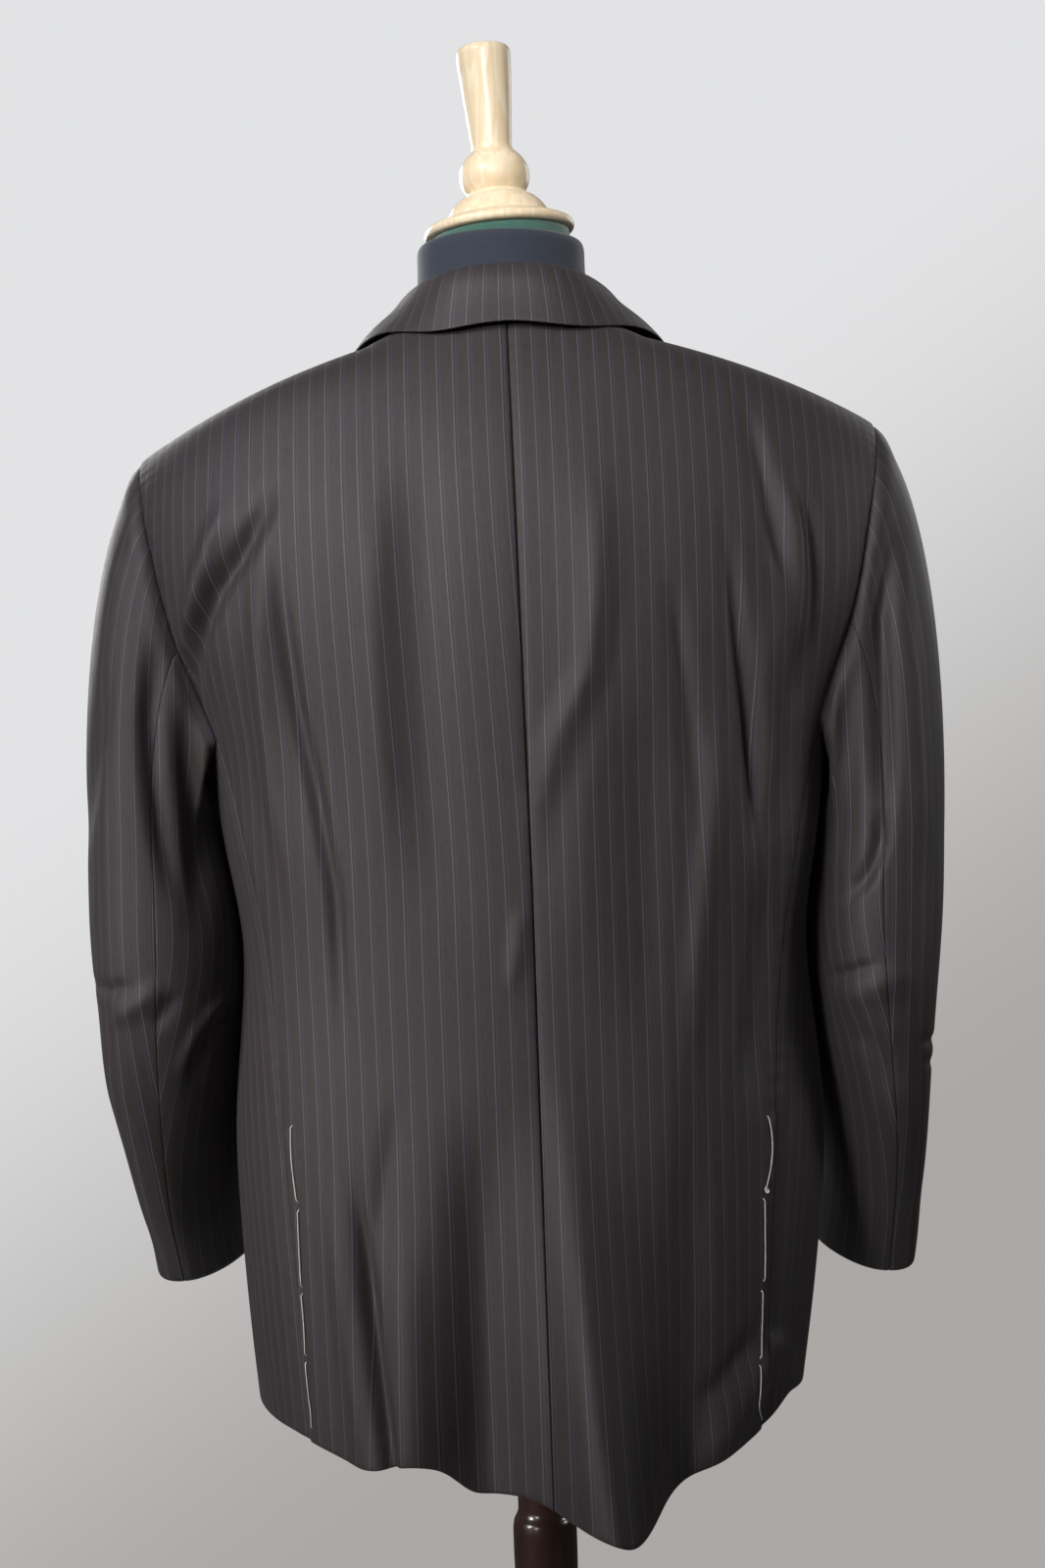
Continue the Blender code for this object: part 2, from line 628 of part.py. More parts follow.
def shares_round(ring):
    """How far round a closed ring each of its points lies, 0 to 1."""
    steps = np.linalg.norm(np.roll(ring, -1, axis=0) - ring, axis=1)
    return np.concatenate([[0.0], np.cumsum(steps)[:-1]]) / steps.sum()


def at_shares(ring, shares):
    """Points of a closed ring at given shares of its length."""
    closed = np.concatenate([ring, ring[:1]])
    length = np.concatenate([shares_round(ring), [1.0]])
    return np.stack([np.interp(shares, length, closed[:, k]) for k in range(3)], axis=1)


def ring_at(row, arm):
    """One ring of the sleeve, outermost point first, then backwards."""
    _, outer_left, outer_right, inner, y, height, deep, turn, drop = row
    outer = outer_left if arm == "left" else outer_right
    turned = math.radians(turn)
    reach = (outer - inner) / 2
    across = math.sqrt(reach ** 2 - (deep * math.sin(turned)) ** 2) / math.cos(turned)
    low = (sleeve_rows[0][5] - height) / (sleeve_rows[0][5] - sleeve_rows[-1][5])
    height += arm_length_change[arm] * low
    x = (outer + inner) / 2
    angle = np.linspace(0.0, 2 * math.pi, 240, endpoint=False)
    flat_x = across * np.sign(np.cos(angle)) * np.abs(np.cos(angle)) ** 0.92
    flat_y = deep * np.sign(np.sin(angle)) * np.abs(np.sin(angle)) ** 0.92
    ring = np.empty((240, 3))
    ring[:, 0] = x + flat_x * math.cos(turned) + flat_y * math.sin(turned)
    ring[:, 1] = y - flat_x * math.sin(turned) + flat_y * math.cos(turned)
    ring[:, 2] = height - drop * flat_y / deep
    return ring


def sleeve_surface(arm):
    """Sleeve as a grid (rows, columns, 3), armhole first, closed round.

    The head leaves the armhole along `out` and turns down into the bicep
    ring on a cubic; the arm is lofted through the rings below.
    """
    hole = armhole_ring()
    share = shares_round(hole)
    top = 0.5 + 0.5 * np.cos(2 * math.pi * share)
    out = np.stack([0.25 + 0.24 * top,
                    0.22 * np.sin(2 * math.pi * share),
                    -0.90 * (1 - top) - 0.72 * top], axis=1)
    out /= np.linalg.norm(out, axis=1, keepdims=True)
    hole = hole + out * sleeve_gap
    hole[:, 0] += (2 * cloth_wall + 0.0030) * (1.0 - top) ** 2
    rings = [at_shares(ring_at(row, arm), share) for row in sleeve_rows]
    bicep = rings[0]
    down = rings[1] - bicep
    down /= np.linalg.norm(down, axis=1, keepdims=True)
    reach = np.linalg.norm(bicep - hole, axis=1, keepdims=True)
    t = np.linspace(0.0, 1.0, head_rows)[:, None, None]
    head = ((2 * t ** 3 - 3 * t ** 2 + 1) * hole
            + (t ** 3 - 2 * t ** 2 + t) * out * reach * 0.75
            + (-2 * t ** 3 + 3 * t ** 2) * bicep
            + (t ** 3 - t ** 2) * down * reach)
    lead = 2 * rings[0] - rings[1]
    middles = [ring.mean(axis=0) for ring in [lead] + rings]
    steps = [float(np.linalg.norm(b - a)) for a, b in zip(middles[:-1], middles[1:])]
    knots = np.concatenate([[0.0], np.cumsum(steps)])
    wanted = np.linspace(knots[1], knots[-1], arm_rows)
    arm_grid = np.tensordot(spline_weights(knots, wanted), np.stack([lead] + rings), axes=1)
    return np.concatenate([head[:-1], arm_grid])


def sleeve_piece(name, arm, part):
    """Top or under sleeve, cut from the sleeve's tube at its two seams."""
    grid = sleeve_surface(arm)
    columns = grid.shape[1]
    if part == "under":
        chosen = range(hind_column, fore_column + 1)
    else:
        chosen = range(fore_column, columns + hind_column + 1)
    points = grid[:, [c % columns for c in chosen]]
    points = inset_edges(points, seam_gap, seam_gap, 0.0, 0.0)
    points = settle(mirrored(points, arm == "right"))
    spine = mirrored(grid.mean(axis=1), arm == "right")

    def outward(centre):
        nearest = spine[np.argmin(np.abs(spine[:, 2] - centre[2]))]
        return (centre[0] - nearest[0], centre[1] - nearest[1], 0.0)

    return cloth_piece(name, points, outward)


# --------------------------------------------------------------- collar
def lifted_off(points, clearance):
    """Moves points that are too near the body panels out to a clearance."""
    places = []
    facings = []
    for surface, outward in ((back_surface, back_outward), (front_surface, front_outward)):
        grid = surface[0][master_rows // 2:]
        normals = grid_normals(grid, np.array(outward))
        for mirror in (False, True):
            facing = mirrored(normals, mirror)
            places.append(hang(mirrored(grid, mirror), facing).reshape(-1, 3))
            facings.append(facing.reshape(-1, 3))
    places = np.concatenate(places)
    facings = np.concatenate(facings)
    flat = points.reshape(-1, 3).copy()
    for k, point in enumerate(flat):
        nearest = int(np.argmin(np.sum((places - point) ** 2, axis=1)))
        height = float(np.dot(point - places[nearest], facings[nearest]))
        flat[k] = point + facings[nearest] * max(0.0, clearance - height)
    return flat.reshape(points.shape)


def collar():
    """Folded band: seam, up the stand, over the fold and down the fall."""
    stations = np.linspace(0.0, 1.0, len(collar_rows))
    knots = [np.array([row[k] for row in collar_rows]) for k in (1, 2, 3, 4)]
    half = np.linspace(0.0, 1.0, 9)

    def curve(points):
        flipped = points[1:][::-1] * np.array([-1.0, 1.0, 1.0])
        both = np.concatenate([flipped, points])
        places = np.concatenate([-stations[1:][::-1], stations])
        wanted = np.concatenate([-half[1:][::-1], half])
        return spline_weights(places, wanted) @ both

    seam, fold, middle, edge = (curve(points) for points in knots)
    outside = edge - seam
    outside[:, 2] = 0.0
    outside /= np.linalg.norm(outside, axis=1, keepdims=True)
    up = np.array([0.0, 0.0, 1.0])
    loop = 0.0030
    rows = [seam,
            seam * 0.5 + fold * 0.5,
            fold - up * 0.004 - outside * loop * 0.2,
            fold + outside * loop * 0.6,
            fold - up * 0.004 + outside * loop * 2.2,
            middle,
            edge]
    grid = np.stack(rows)
    grid[..., 0] += neck_drift
    grid = settle(grid)
    grid[5:] = lifted_off(grid[5:], cloth_wall + collar_lift)

    def outward(centre):
        return (centre[0] * 0.2, centre[1] - 0.02, 0.4)

    return cloth_piece("collar", grid, outward, wall=0.0014)


# -------------------------------------------------------------- buttons
def buttons():
    grid, _ = front_surface
    normal = grid_normals(grid, np.array(front_outward))
    for index, height in enumerate(button_heights, start=1):
        row = int(np.argmin(np.abs(grid[:, 0, 2] - height)))
        column = int(np.argmin(np.abs(grid[row, :, 0])))
        seat = grid[row, column] + normal[row, column] * (cloth_wall + 0.0007)
        profile = [(r * button_radius, h * button_thickness) for r, h in button_profile]
        body = turned("button_%d" % index, profile, 16, dark_horn)
        body.location = seat
        body.rotation_mode = "QUATERNION"
        body.rotation_quaternion = Vector(normal[row, column]).to_track_quat("Z", "Y")


# ------------------------------------------------------- form and stand
def turned(name, profile, steps, look):
    """A profile at +X, top to bottom, turned about Z."""
    mesh = bpy.data.meshes.new(name)
    mesh.from_pydata([(r, 0.0, h) for r, h in profile], [],
                     [(k, k + 1) for k in range(len(profile) - 1)])
    body = bpy.data.objects.new(name, mesh)
    jacket_parts.objects.link(body)
    mesh.materials.append(new_material(name, look))
    turn = body.modifiers.new("Turn", "SCREW")
    turn.steps = steps
    turn.render_steps = steps
    turn.use_merge_vertices = True
    turn.merge_threshold = 0.00005
    turn.use_smooth_shade = True
    turn.use_normal_flip = True
    return body


def dress_form():
    """Smooth limbless torso, carried rings from its foot to the top of its neck."""
    rings = [(z, w, b, f, q) for z, w, b, f, q in form_rows]
    for x, back, front in shoulder_rings:
        rings.append((float(ridge_height(x)) - form_under_cloth, x, back, front, 2.0))
    rings.append((1.4300, 0.0700, 0.0560, 0.0560, 2.0))
    rings.append((1.4450, 0.0630, 0.0570, 0.0570, 2.0))
    rings.append((1.4700, neck_radius, 0.0580, 0.0580, 2.0))
    rings.append((neck_top - 0.006, neck_radius, 0.0590, 0.0590, 2.0))
    rings.append((neck_top - 0.0015, neck_radius - 0.0012, 0.0575, 0.0575, 2.0))
    rings.append((neck_top, neck_radius - 0.0045, 0.0545, 0.0545, 2.0))
    columns = 28
    angle = np.linspace(0.0, 2 * math.pi, columns, endpoint=False)
    cosine, sine = np.cos(angle), np.sin(angle)
    grid = []
    for height, half_width, back, front, squareness in rings:
        power = 2.0 / squareness
        x = half_width * np.sign(cosine) * np.abs(cosine) ** power
        y = np.where(sine > 0, back, front) * np.sign(sine) * np.abs(sine) ** power
        grid.append(np.stack([x, y, np.full(columns, height)], axis=1))
    mesh = grid_mesh("form_torso", settle(np.array(grid)), away_from_axis, closed=True)
    work = bmesh.new()
    work.from_mesh(mesh)
    bmesh.ops.holes_fill(work, edges=[e for e in work.edges if e.is_boundary])
    bmesh.ops.recalc_face_normals(work, faces=work.faces)
    work.to_mesh(mesh)
    work.free()
    return add_object("form_torso", mesh, navy_jersey)


def neck_felt():
    outer = neck_radius - 0.010
    foot = neck_top + 0.0003
    profile = [(0.0, felt_height), (outer - 0.0006, felt_height), (outer, felt_height - 0.0006),
               (outer, 0.0), (0.0, 0.0)]
    body = turned("neck_felt", profile, 24, green_felt)
    body.location = (0.0, 0.0, foot)
    return body


def neck_cap():
    body = turned("neck_cap", cap_profile, 22, varnished_beech)
    body.location = (0.0, 0.0, cap_height)
    body.rotation_euler = (0.0, cap_lean, 0.0)
    return body


def stand():
    base = turned("stand_base", stand_profile, 40, dark_mahogany)
    pole = turned("stand_pole", pole_profile, 20, dark_mahogany)
    pole.location = (0.0, 0.0, stand_thickness)
    return base, pole


back_surface = back_master()
front_surface = front_master()
side_surface = side_master()


def main():
    global jacket_parts
    for old in list(bpy.data.objects):
        bpy.data.objects.remove(old, do_unlink=True)
    jacket_parts = bpy.data.collections.new("suit_jacket_on_form")
    bpy.context.scene.collection.children.link(jacket_parts)

    back_panel("back_left", False)
    back_panel("back_right", True)
    side_panel("side_left", False)
    side_panel("side_right", True)
    vent_under("vent_under_left", False)
    vent_under("vent_under_right", True)
    front_panel("front_left", False, False)
    front_panel("front_right", True, True)
    lapel("lapel_left", False, False)
    lapel("lapel_right", True, True)
    for arm in ("left", "right"):
        sleeve_piece("sleeve_top_" + arm, arm, "top")
        sleeve_piece("sleeve_under_" + arm, arm, "under")
    collar()
    buttons()
    dress_form()
    neck_felt()
    neck_cap()
    stand()


main()
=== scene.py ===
# Suit jacket on a dress form: the cloth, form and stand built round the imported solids.
# Metres, +Z up. The jacket's back faces +Y and the wearer's left is +X.
import math
import bmesh
import bpy
import numpy as np
from mathutils import Matrix, Vector


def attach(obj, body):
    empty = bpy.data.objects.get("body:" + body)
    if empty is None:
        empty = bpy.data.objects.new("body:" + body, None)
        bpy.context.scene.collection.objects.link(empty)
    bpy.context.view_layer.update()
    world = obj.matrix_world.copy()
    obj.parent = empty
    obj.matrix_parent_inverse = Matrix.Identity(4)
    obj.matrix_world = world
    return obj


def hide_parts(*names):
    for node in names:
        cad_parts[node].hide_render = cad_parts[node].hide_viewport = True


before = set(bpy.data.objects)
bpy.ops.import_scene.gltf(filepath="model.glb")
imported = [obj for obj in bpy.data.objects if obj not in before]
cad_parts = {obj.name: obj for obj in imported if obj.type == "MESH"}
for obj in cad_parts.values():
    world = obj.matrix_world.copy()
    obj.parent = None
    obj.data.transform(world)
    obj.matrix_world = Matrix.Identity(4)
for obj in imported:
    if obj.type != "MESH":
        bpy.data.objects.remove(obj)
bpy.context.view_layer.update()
print("frame loaded:", len(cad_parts), "solids")

# What a user would change about the jacket's cut
jacketCut = {
    "wall": 0.0016,            # the CAD wall, whose outer face the cloth follows
    "clothThickness": 0.0013,
    "footHeight": 0.626,       # level of the lowest rows, before the hem line
    "scyeHeight": 1.138,       # where the side seams meet the armhole
    "hemReach": 0.900,
    "sideDip": 0.020,
    "seamDrift": -0.007,
    "neckDrift": -0.003,
    "rightTailIn": 0.013,
    "waistEase": 0.005,        # how far the cloth stands off the waist behind
    "rightTurn": 0.020,        # how far the right of the back turns away below the waist
    "neckPoint": (0.085, 0.000, 1.4215),
    "neckBack": (0.000, 0.065, 1.4320),
    "neckFront": (0.000, -0.072, 1.3900),
    "shoulderLean": 0.0175,
    "shoulderSlope": 0.35,
    "shoulderWidth": 0.1805,
    "tipDrop": 0.009,
    "tipForward": -0.006,      # y of the shoulder seam at the tip
    "frontOverlap": 0.018,
    "foldUnder": 0.0036,
    "breakHeight": 1.030,
    "quarterRadius": 0.090,
    "ventTop": 0.868,
    "gridColumns": 241,
    "gridRows": 481,
}

# Closed sections below the armhole: height, half width, back depth, front depth,
# squareness, x of the side-back seam, x of the side-front seam
bodyRows = (
    (0.626, 0.2010, 0.158, 0.146, 2.15, 0.156, 0.160),
    (0.700, 0.2060, 0.152, 0.144, 2.20, 0.160, 0.160),
    (0.790, 0.2105, 0.144, 0.142, 2.25, 0.165, 0.160),
    (0.870, 0.2110, 0.138, 0.138, 2.30, 0.169, 0.160),
    (0.940, 0.2045, 0.132, 0.134, 2.35, 0.172, 0.160),
    (1.000, 0.2020, 0.129, 0.132, 2.40, 0.177, 0.163),
    (1.060, 0.2120, 0.131, 0.136, 2.45, 0.190, 0.172),
    (1.138, 0.2215, 0.134, 0.142, 2.50, 0.211, 0.194),
)
# Open sections above it: height at centre, height at edge, x of edge, half width,
# depth, y of the section's flat side, squareness
backRows = (
    (1.215, 1.205, 0.2360, 0.2500, 0.132, 0.000, 2.50),
    (1.300, 1.270, 0.2520, 0.2720, 0.121, -0.004, 2.40),
    (1.365, 1.315, 0.2610, 0.2860, 0.101, -0.010, 2.20),
    (1.402, 1.335, 0.2640, 0.2860, 0.083, -0.008, 1.90),
)
frontRows = (
    (1.205, 1.205, 0.2230, 0.2450, 0.143, 0.000, 2.40),
    (1.285, 1.265, 0.2360, 0.2680, 0.130, 0.002, 2.30),
    (1.348, 1.312, 0.2500, 0.2860, 0.108, 0.004, 2.10),
    (1.380, 1.336, 0.2600, 0.2900, 0.078, 0.004, 1.90),
)
# The hem line seen from above: degrees from the wearer's left, height
hemLine = (
    (-180, 0.664), (-145, 0.650), (-125, 0.636), (-90, 0.632), (-55, 0.636),
    (-35, 0.650), (0, 0.667), (29, 0.661), (46, 0.647), (52, 0.646),
    (60, 0.652), (65, 0.648), (70, 0.629), (85, 0.629), (95, 0.617),
    (104, 0.605), (110, 0.611), (123, 0.624), (134, 0.638), (146, 0.650),
    (158, 0.667), (180, 0.664),
)
# Folds that carry the outline of the back: x and height at the foot, x and height
# at the head, half width, height out of the cloth at the foot, at the head
mainFolds = (
    (-0.038, 0.600, -0.024, 0.900, 0.030, 0.066, 0.000),
    (-0.098, 0.600, -0.085, 0.860, 0.026, -0.018, 0.000),
    (0.040, 0.600, 0.030, 0.900, 0.026, -0.014, 0.000),
    (0.098, 0.600, 0.085, 0.860, 0.026, 0.010, 0.000),
    (-0.035, 1.040, -0.050, 1.250, 0.022, 0.004, 0.004),
    (0.060, 1.060, 0.070, 1.280, 0.026, -0.003, -0.003),
)


# Curves and surfaces

def clamped(x):
    return np.clip(x, 0.0, 1.0)


def bell(x):
    return np.exp(-x ** 2)


def smoothStep(x):
    # 3x^2 - 2x^3 between 0 and 1
    x = clamped(x)
    return x * x * (3.0 - 2.0 * x)


def signedPower(x, power):
    return np.sign(x) * np.abs(x) ** power


def around(count):
    # angles at equal steps once round
    return np.linspace(0.0, 2 * math.pi, count, endpoint=False)


def unit(vectors):
    # the same directions with length 1
    return vectors / np.maximum(np.linalg.norm(vectors, axis=-1, keepdims=True), 1e-12)


def lengthAlong(points):
    # distance from the start at every point of a polyline, or of each row of a grid
    step = np.linalg.norm(np.diff(points, axis=-2), axis=-1)
    return np.concatenate([np.zeros(step.shape[:-1] + (1,)), np.cumsum(step, axis=-1)], axis=-1)


def evenly(curve, count):
    # points at equal steps of length along a polyline
    length = lengthAlong(curve)
    wanted = np.linspace(0.0, length[-1], count)
    return np.stack([np.interp(wanted, length, curve[:, k]) for k in range(3)], axis=1)


def splineWeights(knots, wanted):
    # matrix of a natural cubic spline: values at the knots to values wanted
    knots, wanted = np.asarray(knots, float), np.asarray(wanted, float)
    count = len(knots)
    step = np.diff(knots)
    system = np.zeros((count, count))
    right = np.zeros((count, count))
    system[0, 0] = system[-1, -1] = 1.0
    inner = np.arange(1, count - 1)
    system[inner, inner - 1] = step[:-1]
    system[inner, inner] = 2.0 * (step[:-1] + step[1:])
    system[inner, inner + 1] = step[1:]
    right[inner, inner - 1] = 6.0 / step[:-1]
    right[inner, inner] = -6.0 / step[:-1] - 6.0 / step[1:]
    right[inner, inner + 1] = 6.0 / step[1:]
    bend = np.linalg.solve(system, right)
    cell = np.clip(np.searchsorted(knots, wanted) - 1, 0, count - 2)
    width = step[cell]
    after = (wanted - knots[cell]) / width
    before = 1.0 - after
    straight = np.eye(count)
    return (before[:, None] * straight[cell] + after[:, None] * straight[cell + 1]
            + ((before ** 3 - before) * width ** 2 / 6.0)[:, None] * bend[cell]
            + ((after ** 3 - after) * width ** 2 / 6.0)[:, None] * bend[cell + 1])


def splineThrough(points, count):
    # a smooth curve of count points through the given ones, knotted by length
    points = np.asarray(points, float)
    knots = lengthAlong(points)
    return splineWeights(knots, np.linspace(0.0, knots[-1], count)) @ points


def loft(rows):
    # smooth surface through row curves: the knots are the heights of the body rows,
    # and go on by length above the armhole
    rows = np.asarray(rows)
    middle = rows[:, rows.shape[1] // 2, :]
    knots = [row[0] for row in bodyRows]
    for below, above in zip(middle[len(knots) - 1:-1], middle[len(knots):]):
        knots.append(knots[-1] + float(np.linalg.norm(above - below)))
    weights = splineWeights(knots, np.linspace(knots[0], knots[-1], jacketCut["gridRows"]))
    return np.tensordot(weights, rows, axes=1), knots[-1]


def section(halfWidth, depth, squareness, xFrom, xTo, flat=0.0, count=900):
    # part of a superellipse in plan, from one x to another
    turnFrom = math.asin(min(1.0, abs(xFrom / halfWidth) ** (squareness / 2)))
    turnTo = math.asin(min(1.0, (xTo / halfWidth) ** (squareness / 2)))
    turn = np.linspace(math.copysign(turnFrom, xFrom), turnTo, count)
    x = halfWidth * signedPower(np.sin(turn), 2.0 / squareness)
    y = flat + (depth - flat) * np.cos(turn) ** (2.0 / squareness)
    return x, y


def ridgeHeight(x):
    # height of the shoulder line: a slope, and a rounded drop at the padded tip
    past = np.maximum(x - jacketCut["neckPoint"][0], 0.0)
    drop = jacketCut["tipDrop"] * (past / jacketCut["shoulderWidth"]) ** 6
    return jacketCut["neckPoint"][2] - jacketCut["shoulderSlope"] * past - drop


def topRow(centre, xFrom):
    # quarter of the neck opening, then the shoulder seam
    neckX, neckY, neckZ = jacketCut["neckPoint"]
    turn = np.linspace(0.0, math.pi / 2, 300)
    rise = (1.0 - np.cos(turn)) ** 1.3
    neck = np.stack([neckX * np.sin(turn), neckY + (centre[1] - neckY) * np.cos(turn),
                     centre[2] + (neckZ - centre[2]) * rise], axis=1)
    if xFrom < 0.0:
        past = neck[1:45][::-1] * np.array([-1.0, 1.0, 1.0])
        neck = np.concatenate([past[past[:, 0] > xFrom], neck])
    x = np.linspace(neckX, neckX + jacketCut["shoulderWidth"], 400)
    y = np.linspace(neckY, jacketCut["tipForward"], 400)
    shoulder = np.stack([x, y, ridgeHeight(x)], axis=1)
    return evenly(np.concatenate([neck, shoulder[1:]]), jacketCut["gridColumns"])


def upperRow(row, side, xFrom):
    # row curve above the scye; side is +1 for the back and -1 for the front
    zMid, zEdge, xEdge, halfWidth, depth, flat, squareness = row
    x, y = section(halfWidth, depth, squareness, xFrom, xEdge, flat * side)
    z = zMid + (zEdge - zMid) * (np.abs(x) / xEdge) ** 2.2
    return evenly(np.stack([x, side * y, z], axis=1), jacketCut["gridColumns"])


def lowerRow(row, side, xFrom):
    # row curve of the back or front at a level below the scye
    height, halfWidth, back, front, squareness, xBack, xFront = row
    depth, xEdge = (back, xBack) if side > 0 else (front, xFront)
    x, y = section(halfWidth, depth, squareness, xFrom, xEdge)
    return evenly(np.stack([x, side * y, np.full_like(x, height)], axis=1),
                  jacketCut["gridColumns"])


def halfMaster(side, upperRows, neck, start):
    # the whole back or front from its centre to its side, hem to shoulder
    rows = [lowerRow(row, side, start) for row in bodyRows]
    rows += [upperRow(row, side, start) for row in upperRows]
    return loft(rows + [topRow(neck, start)])


def sample(grid, s, v):
    # bilinear value of a grid at shares s along and v up, carried on straight past
    # its edges
    rows, columns = grid.shape[:2]
    column = s * (columns - 1)
    row = v * (rows - 1)
    c0 = np.clip(column.astype(int), 0, columns - 2)
    r0 = np.clip(row.astype(int), 0, rows - 2)
    fc = (column - c0)[..., None]
    fr = (row - r0)[..., None]
    low = grid[r0, c0] * (1 - fc) + grid[r0, c0 + 1] * fc
    high = grid[r0 + 1, c0] * (1 - fc) + grid[r0 + 1, c0 + 1] * fc
    return low * (1 - fr) + high * fr


def atLevel(surface, s, level):
    grid, top = surface
    foot = jacketCut["footHeight"]
    return sample(grid, s, (level - foot) / (top - foot))


def sideMaster():
    # side panel from the back seam to the front seam, its edges on its neighbours'
    rows = []
    share = np.linspace(0.0, 1.0, jacketCut["gridColumns"])
    for height, halfWidth, back, front, squareness, xBack, xFront in bodyRows:
        turnBack = math.acos((xBack / halfWidth) ** (squareness / 2))
        turnFront = math.acos((xFront / halfWidth) ** (squareness / 2))
        turn = np.linspace(turnBack, -turnFront, 900)
        x = halfWidth * np.cos(turn) ** (2.0 / squareness)
        y = np.where(turn > 0, back, front) * signedPower(np.sin(turn), 2.0 / squareness)
        rows.append(evenly(np.stack([x, y, np.full_like(x, height)], axis=1), len(share)))
    rows[-1][:, 2] -= jacketCut["sideDip"] * np.sin(math.pi * share) ** 0.8
    grid, top = loft(rows)
    level = np.linspace(jacketCut["footHeight"], top, jacketCut["gridRows"])
    ones = np.ones(jacketCut["gridRows"])
    backOff = (atLevel(backSurface, ones, level) - grid[:, 0])[:, None, :]
    grid += backOff * (1.0 - share)[None, :, None]
    frontOff = (atLevel(frontSurface, ones, level) - grid[:, -1])[:, None, :]
    grid += frontOff * share[None, :, None]
    return grid, top


def acrossGrid(grid):
    # unit normals of a grid, on the side its two directions give
    return unit(np.cross(np.gradient(grid, axis=1), np.gradient(grid, axis=0)))


def gridNormals(grid, outward):
    # the same, each turned like outward
    normal = acrossGrid(grid)
    facing = np.sign(np.sum(normal * outward, axis=2, keepdims=True))
    return normal * np.where(facing == 0, 1.0, facing)


def mirrored(grid, mirror):
    return grid * np.array([-1.0, 1.0, 1.0]) if mirror else grid


def clothDistance(surface):
    # distance round the body of every grid point, as the cloth's threads count it:
    # level arc length low down, and above the blades the thread that runs straight up
    bladeHeight, turnFrom, turnOver = 1.27, 1.18, 0.14
    grid, top = surface
    along = lengthAlong(grid[..., :2])
    if top < jacketCut["scyeHeight"] + 0.01:
        return along
    start = np.array([np.interp(0.0, row[:, 0], a) for row, a in zip(grid, along)])
    along = along - start[:, None]
    blade = int(np.argmin(np.abs(grid[:, 0, 2] - bladeHeight)))
    xBlade, uBlade = grid[blade, :, 0], along[blade]
    straight = np.interp(grid[..., 0], xBlade, uBlade)
    past = np.maximum(grid[..., 0] - xBlade[-1], 0.0)
    straight = straight + past * (uBlade[-1] - uBlade[-20]) / (xBlade[-1] - xBlade[-20])
    share = smoothStep((grid[..., 2] - turnFrom) / turnOver)
    return along * (1.0 - share) + straight * share


backSurface = halfMaster(1, backRows, jacketCut["neckBack"], 0.0)
frontSurface = halfMaster(-1, frontRows, jacketCut["neckFront"],
                          -jacketCut["frontOverlap"] - 0.006)
sideSurface = sideMaster()
masters = {
    "back": (backSurface, gridNormals(backSurface[0], np.array([0.2, 1.0, 0.3]))),
    "front": (frontSurface, gridNormals(frontSurface[0], np.array([0.2, -1.0, 0.3]))),
    "side": (sideSurface, gridNormals(sideSurface[0], np.array([1.0, 0.0, 0.0]))),
}
threads = {name: clothDistance(surface) for name, (surface, _) in masters.items()}


# How the cloth hangs

hemAngles = np.linspace(-180.0, 180.0, 1441)
hemHeights = np.interp(hemAngles, *zip(*hemLine))
bellWeights = bell(np.arange(-24, 25) / 9.0)
hemHeights = np.convolve(np.pad(hemHeights, 24, mode="wrap"),
                         bellWeights / bellWeights.sum(), "valid")


# What a user would change about where these things happen: a level, and the height
# over which each grows or fades
hangLevels = {
    "lean": (1.10, 0.20),
    "ease": (1.00, 0.075),
    "turn": (1.06, 0.24),
    "tail": (0.86, 0.22),
    "drift": (1.43, 0.40),
}


def below(z, what):
    # how far z is below a level, as a share of the height that goes with it
    level, height = hangLevels[what]
    return (level - z) / height


def settle(points):
    # the shoulders lean a little to the left of level, most at the tips
    high = clamped(-below(points[..., 2], "lean"))
    x = points[..., 0]
    points = points.copy()
    points[..., 2] -= jacketCut["shoulderLean"] * x * np.abs(x) / 0.25 * high
    return points


def foldShift(points):
    # height of the main folds: a bell across each axis, changing from foot to head
    shift = np.zeros(points.shape[:-1])
    x, z = points[..., 0], points[..., 2]
    for xFoot, zFoot, xHead, zHead, reach, foot, head in mainFolds:
        share = clamped((z - zFoot) / (zHead - zFoot))
        height = foot * (1.0 - share) ** 1.6 if head == 0.0 else foot + (head - foot) * share
        past = np.abs(z - np.clip(z, zFoot, zHead))
        axis = xFoot + (xHead - xFoot) * share
        shift += height * np.exp(-((x - axis) / reach) ** 2 - (past / 0.06) ** 2)
    return shift


def hang(points, normals):
    # plain surface to hanging cloth: folds and ease out of the back, the hem line,
    # the right side turned away, its tail turned in, the drift of the centre back
    # seam and the lean of the shoulders
    behind = clamped(normals[..., 1] * 1.4) ** 1.2
    ease = jacketCut["waistEase"] * bell(below(points[..., 2], "ease"))
    points = points + normals * ((foldShift(points) + ease) * behind)[..., None]
    x, y, z = (points[..., k] for k in range(3))
    low = (jacketCut["hemReach"] - z) / (jacketCut["hemReach"] - jacketCut["footHeight"])
    angle = np.degrees(np.arctan2(y, x))
    z += (np.interp(angle, hemAngles, hemHeights) - jacketCut["footHeight"]) * clamped(low) ** 1.5
    away = np.clip((-x - 0.092) / 0.09, 0.0, 1.3) * smoothStep(below(z, "turn"))
    y -= jacketCut["rightTurn"] * away * behind
    turnedIn = clamped(below(z, "tail")) ** 1.3
    x += jacketCut["rightTailIn"] * turnedIn * clamped(-x / 0.20) ** 3
    middle = clamped(1.0 - np.abs(x) / 0.15) * behind
    neckDrift, seamDrift = jacketCut["neckDrift"], jacketCut["seamDrift"]
    x += (neckDrift + (seamDrift - neckDrift) * clamped(below(z, "drift"))) * middle
    return settle(points)


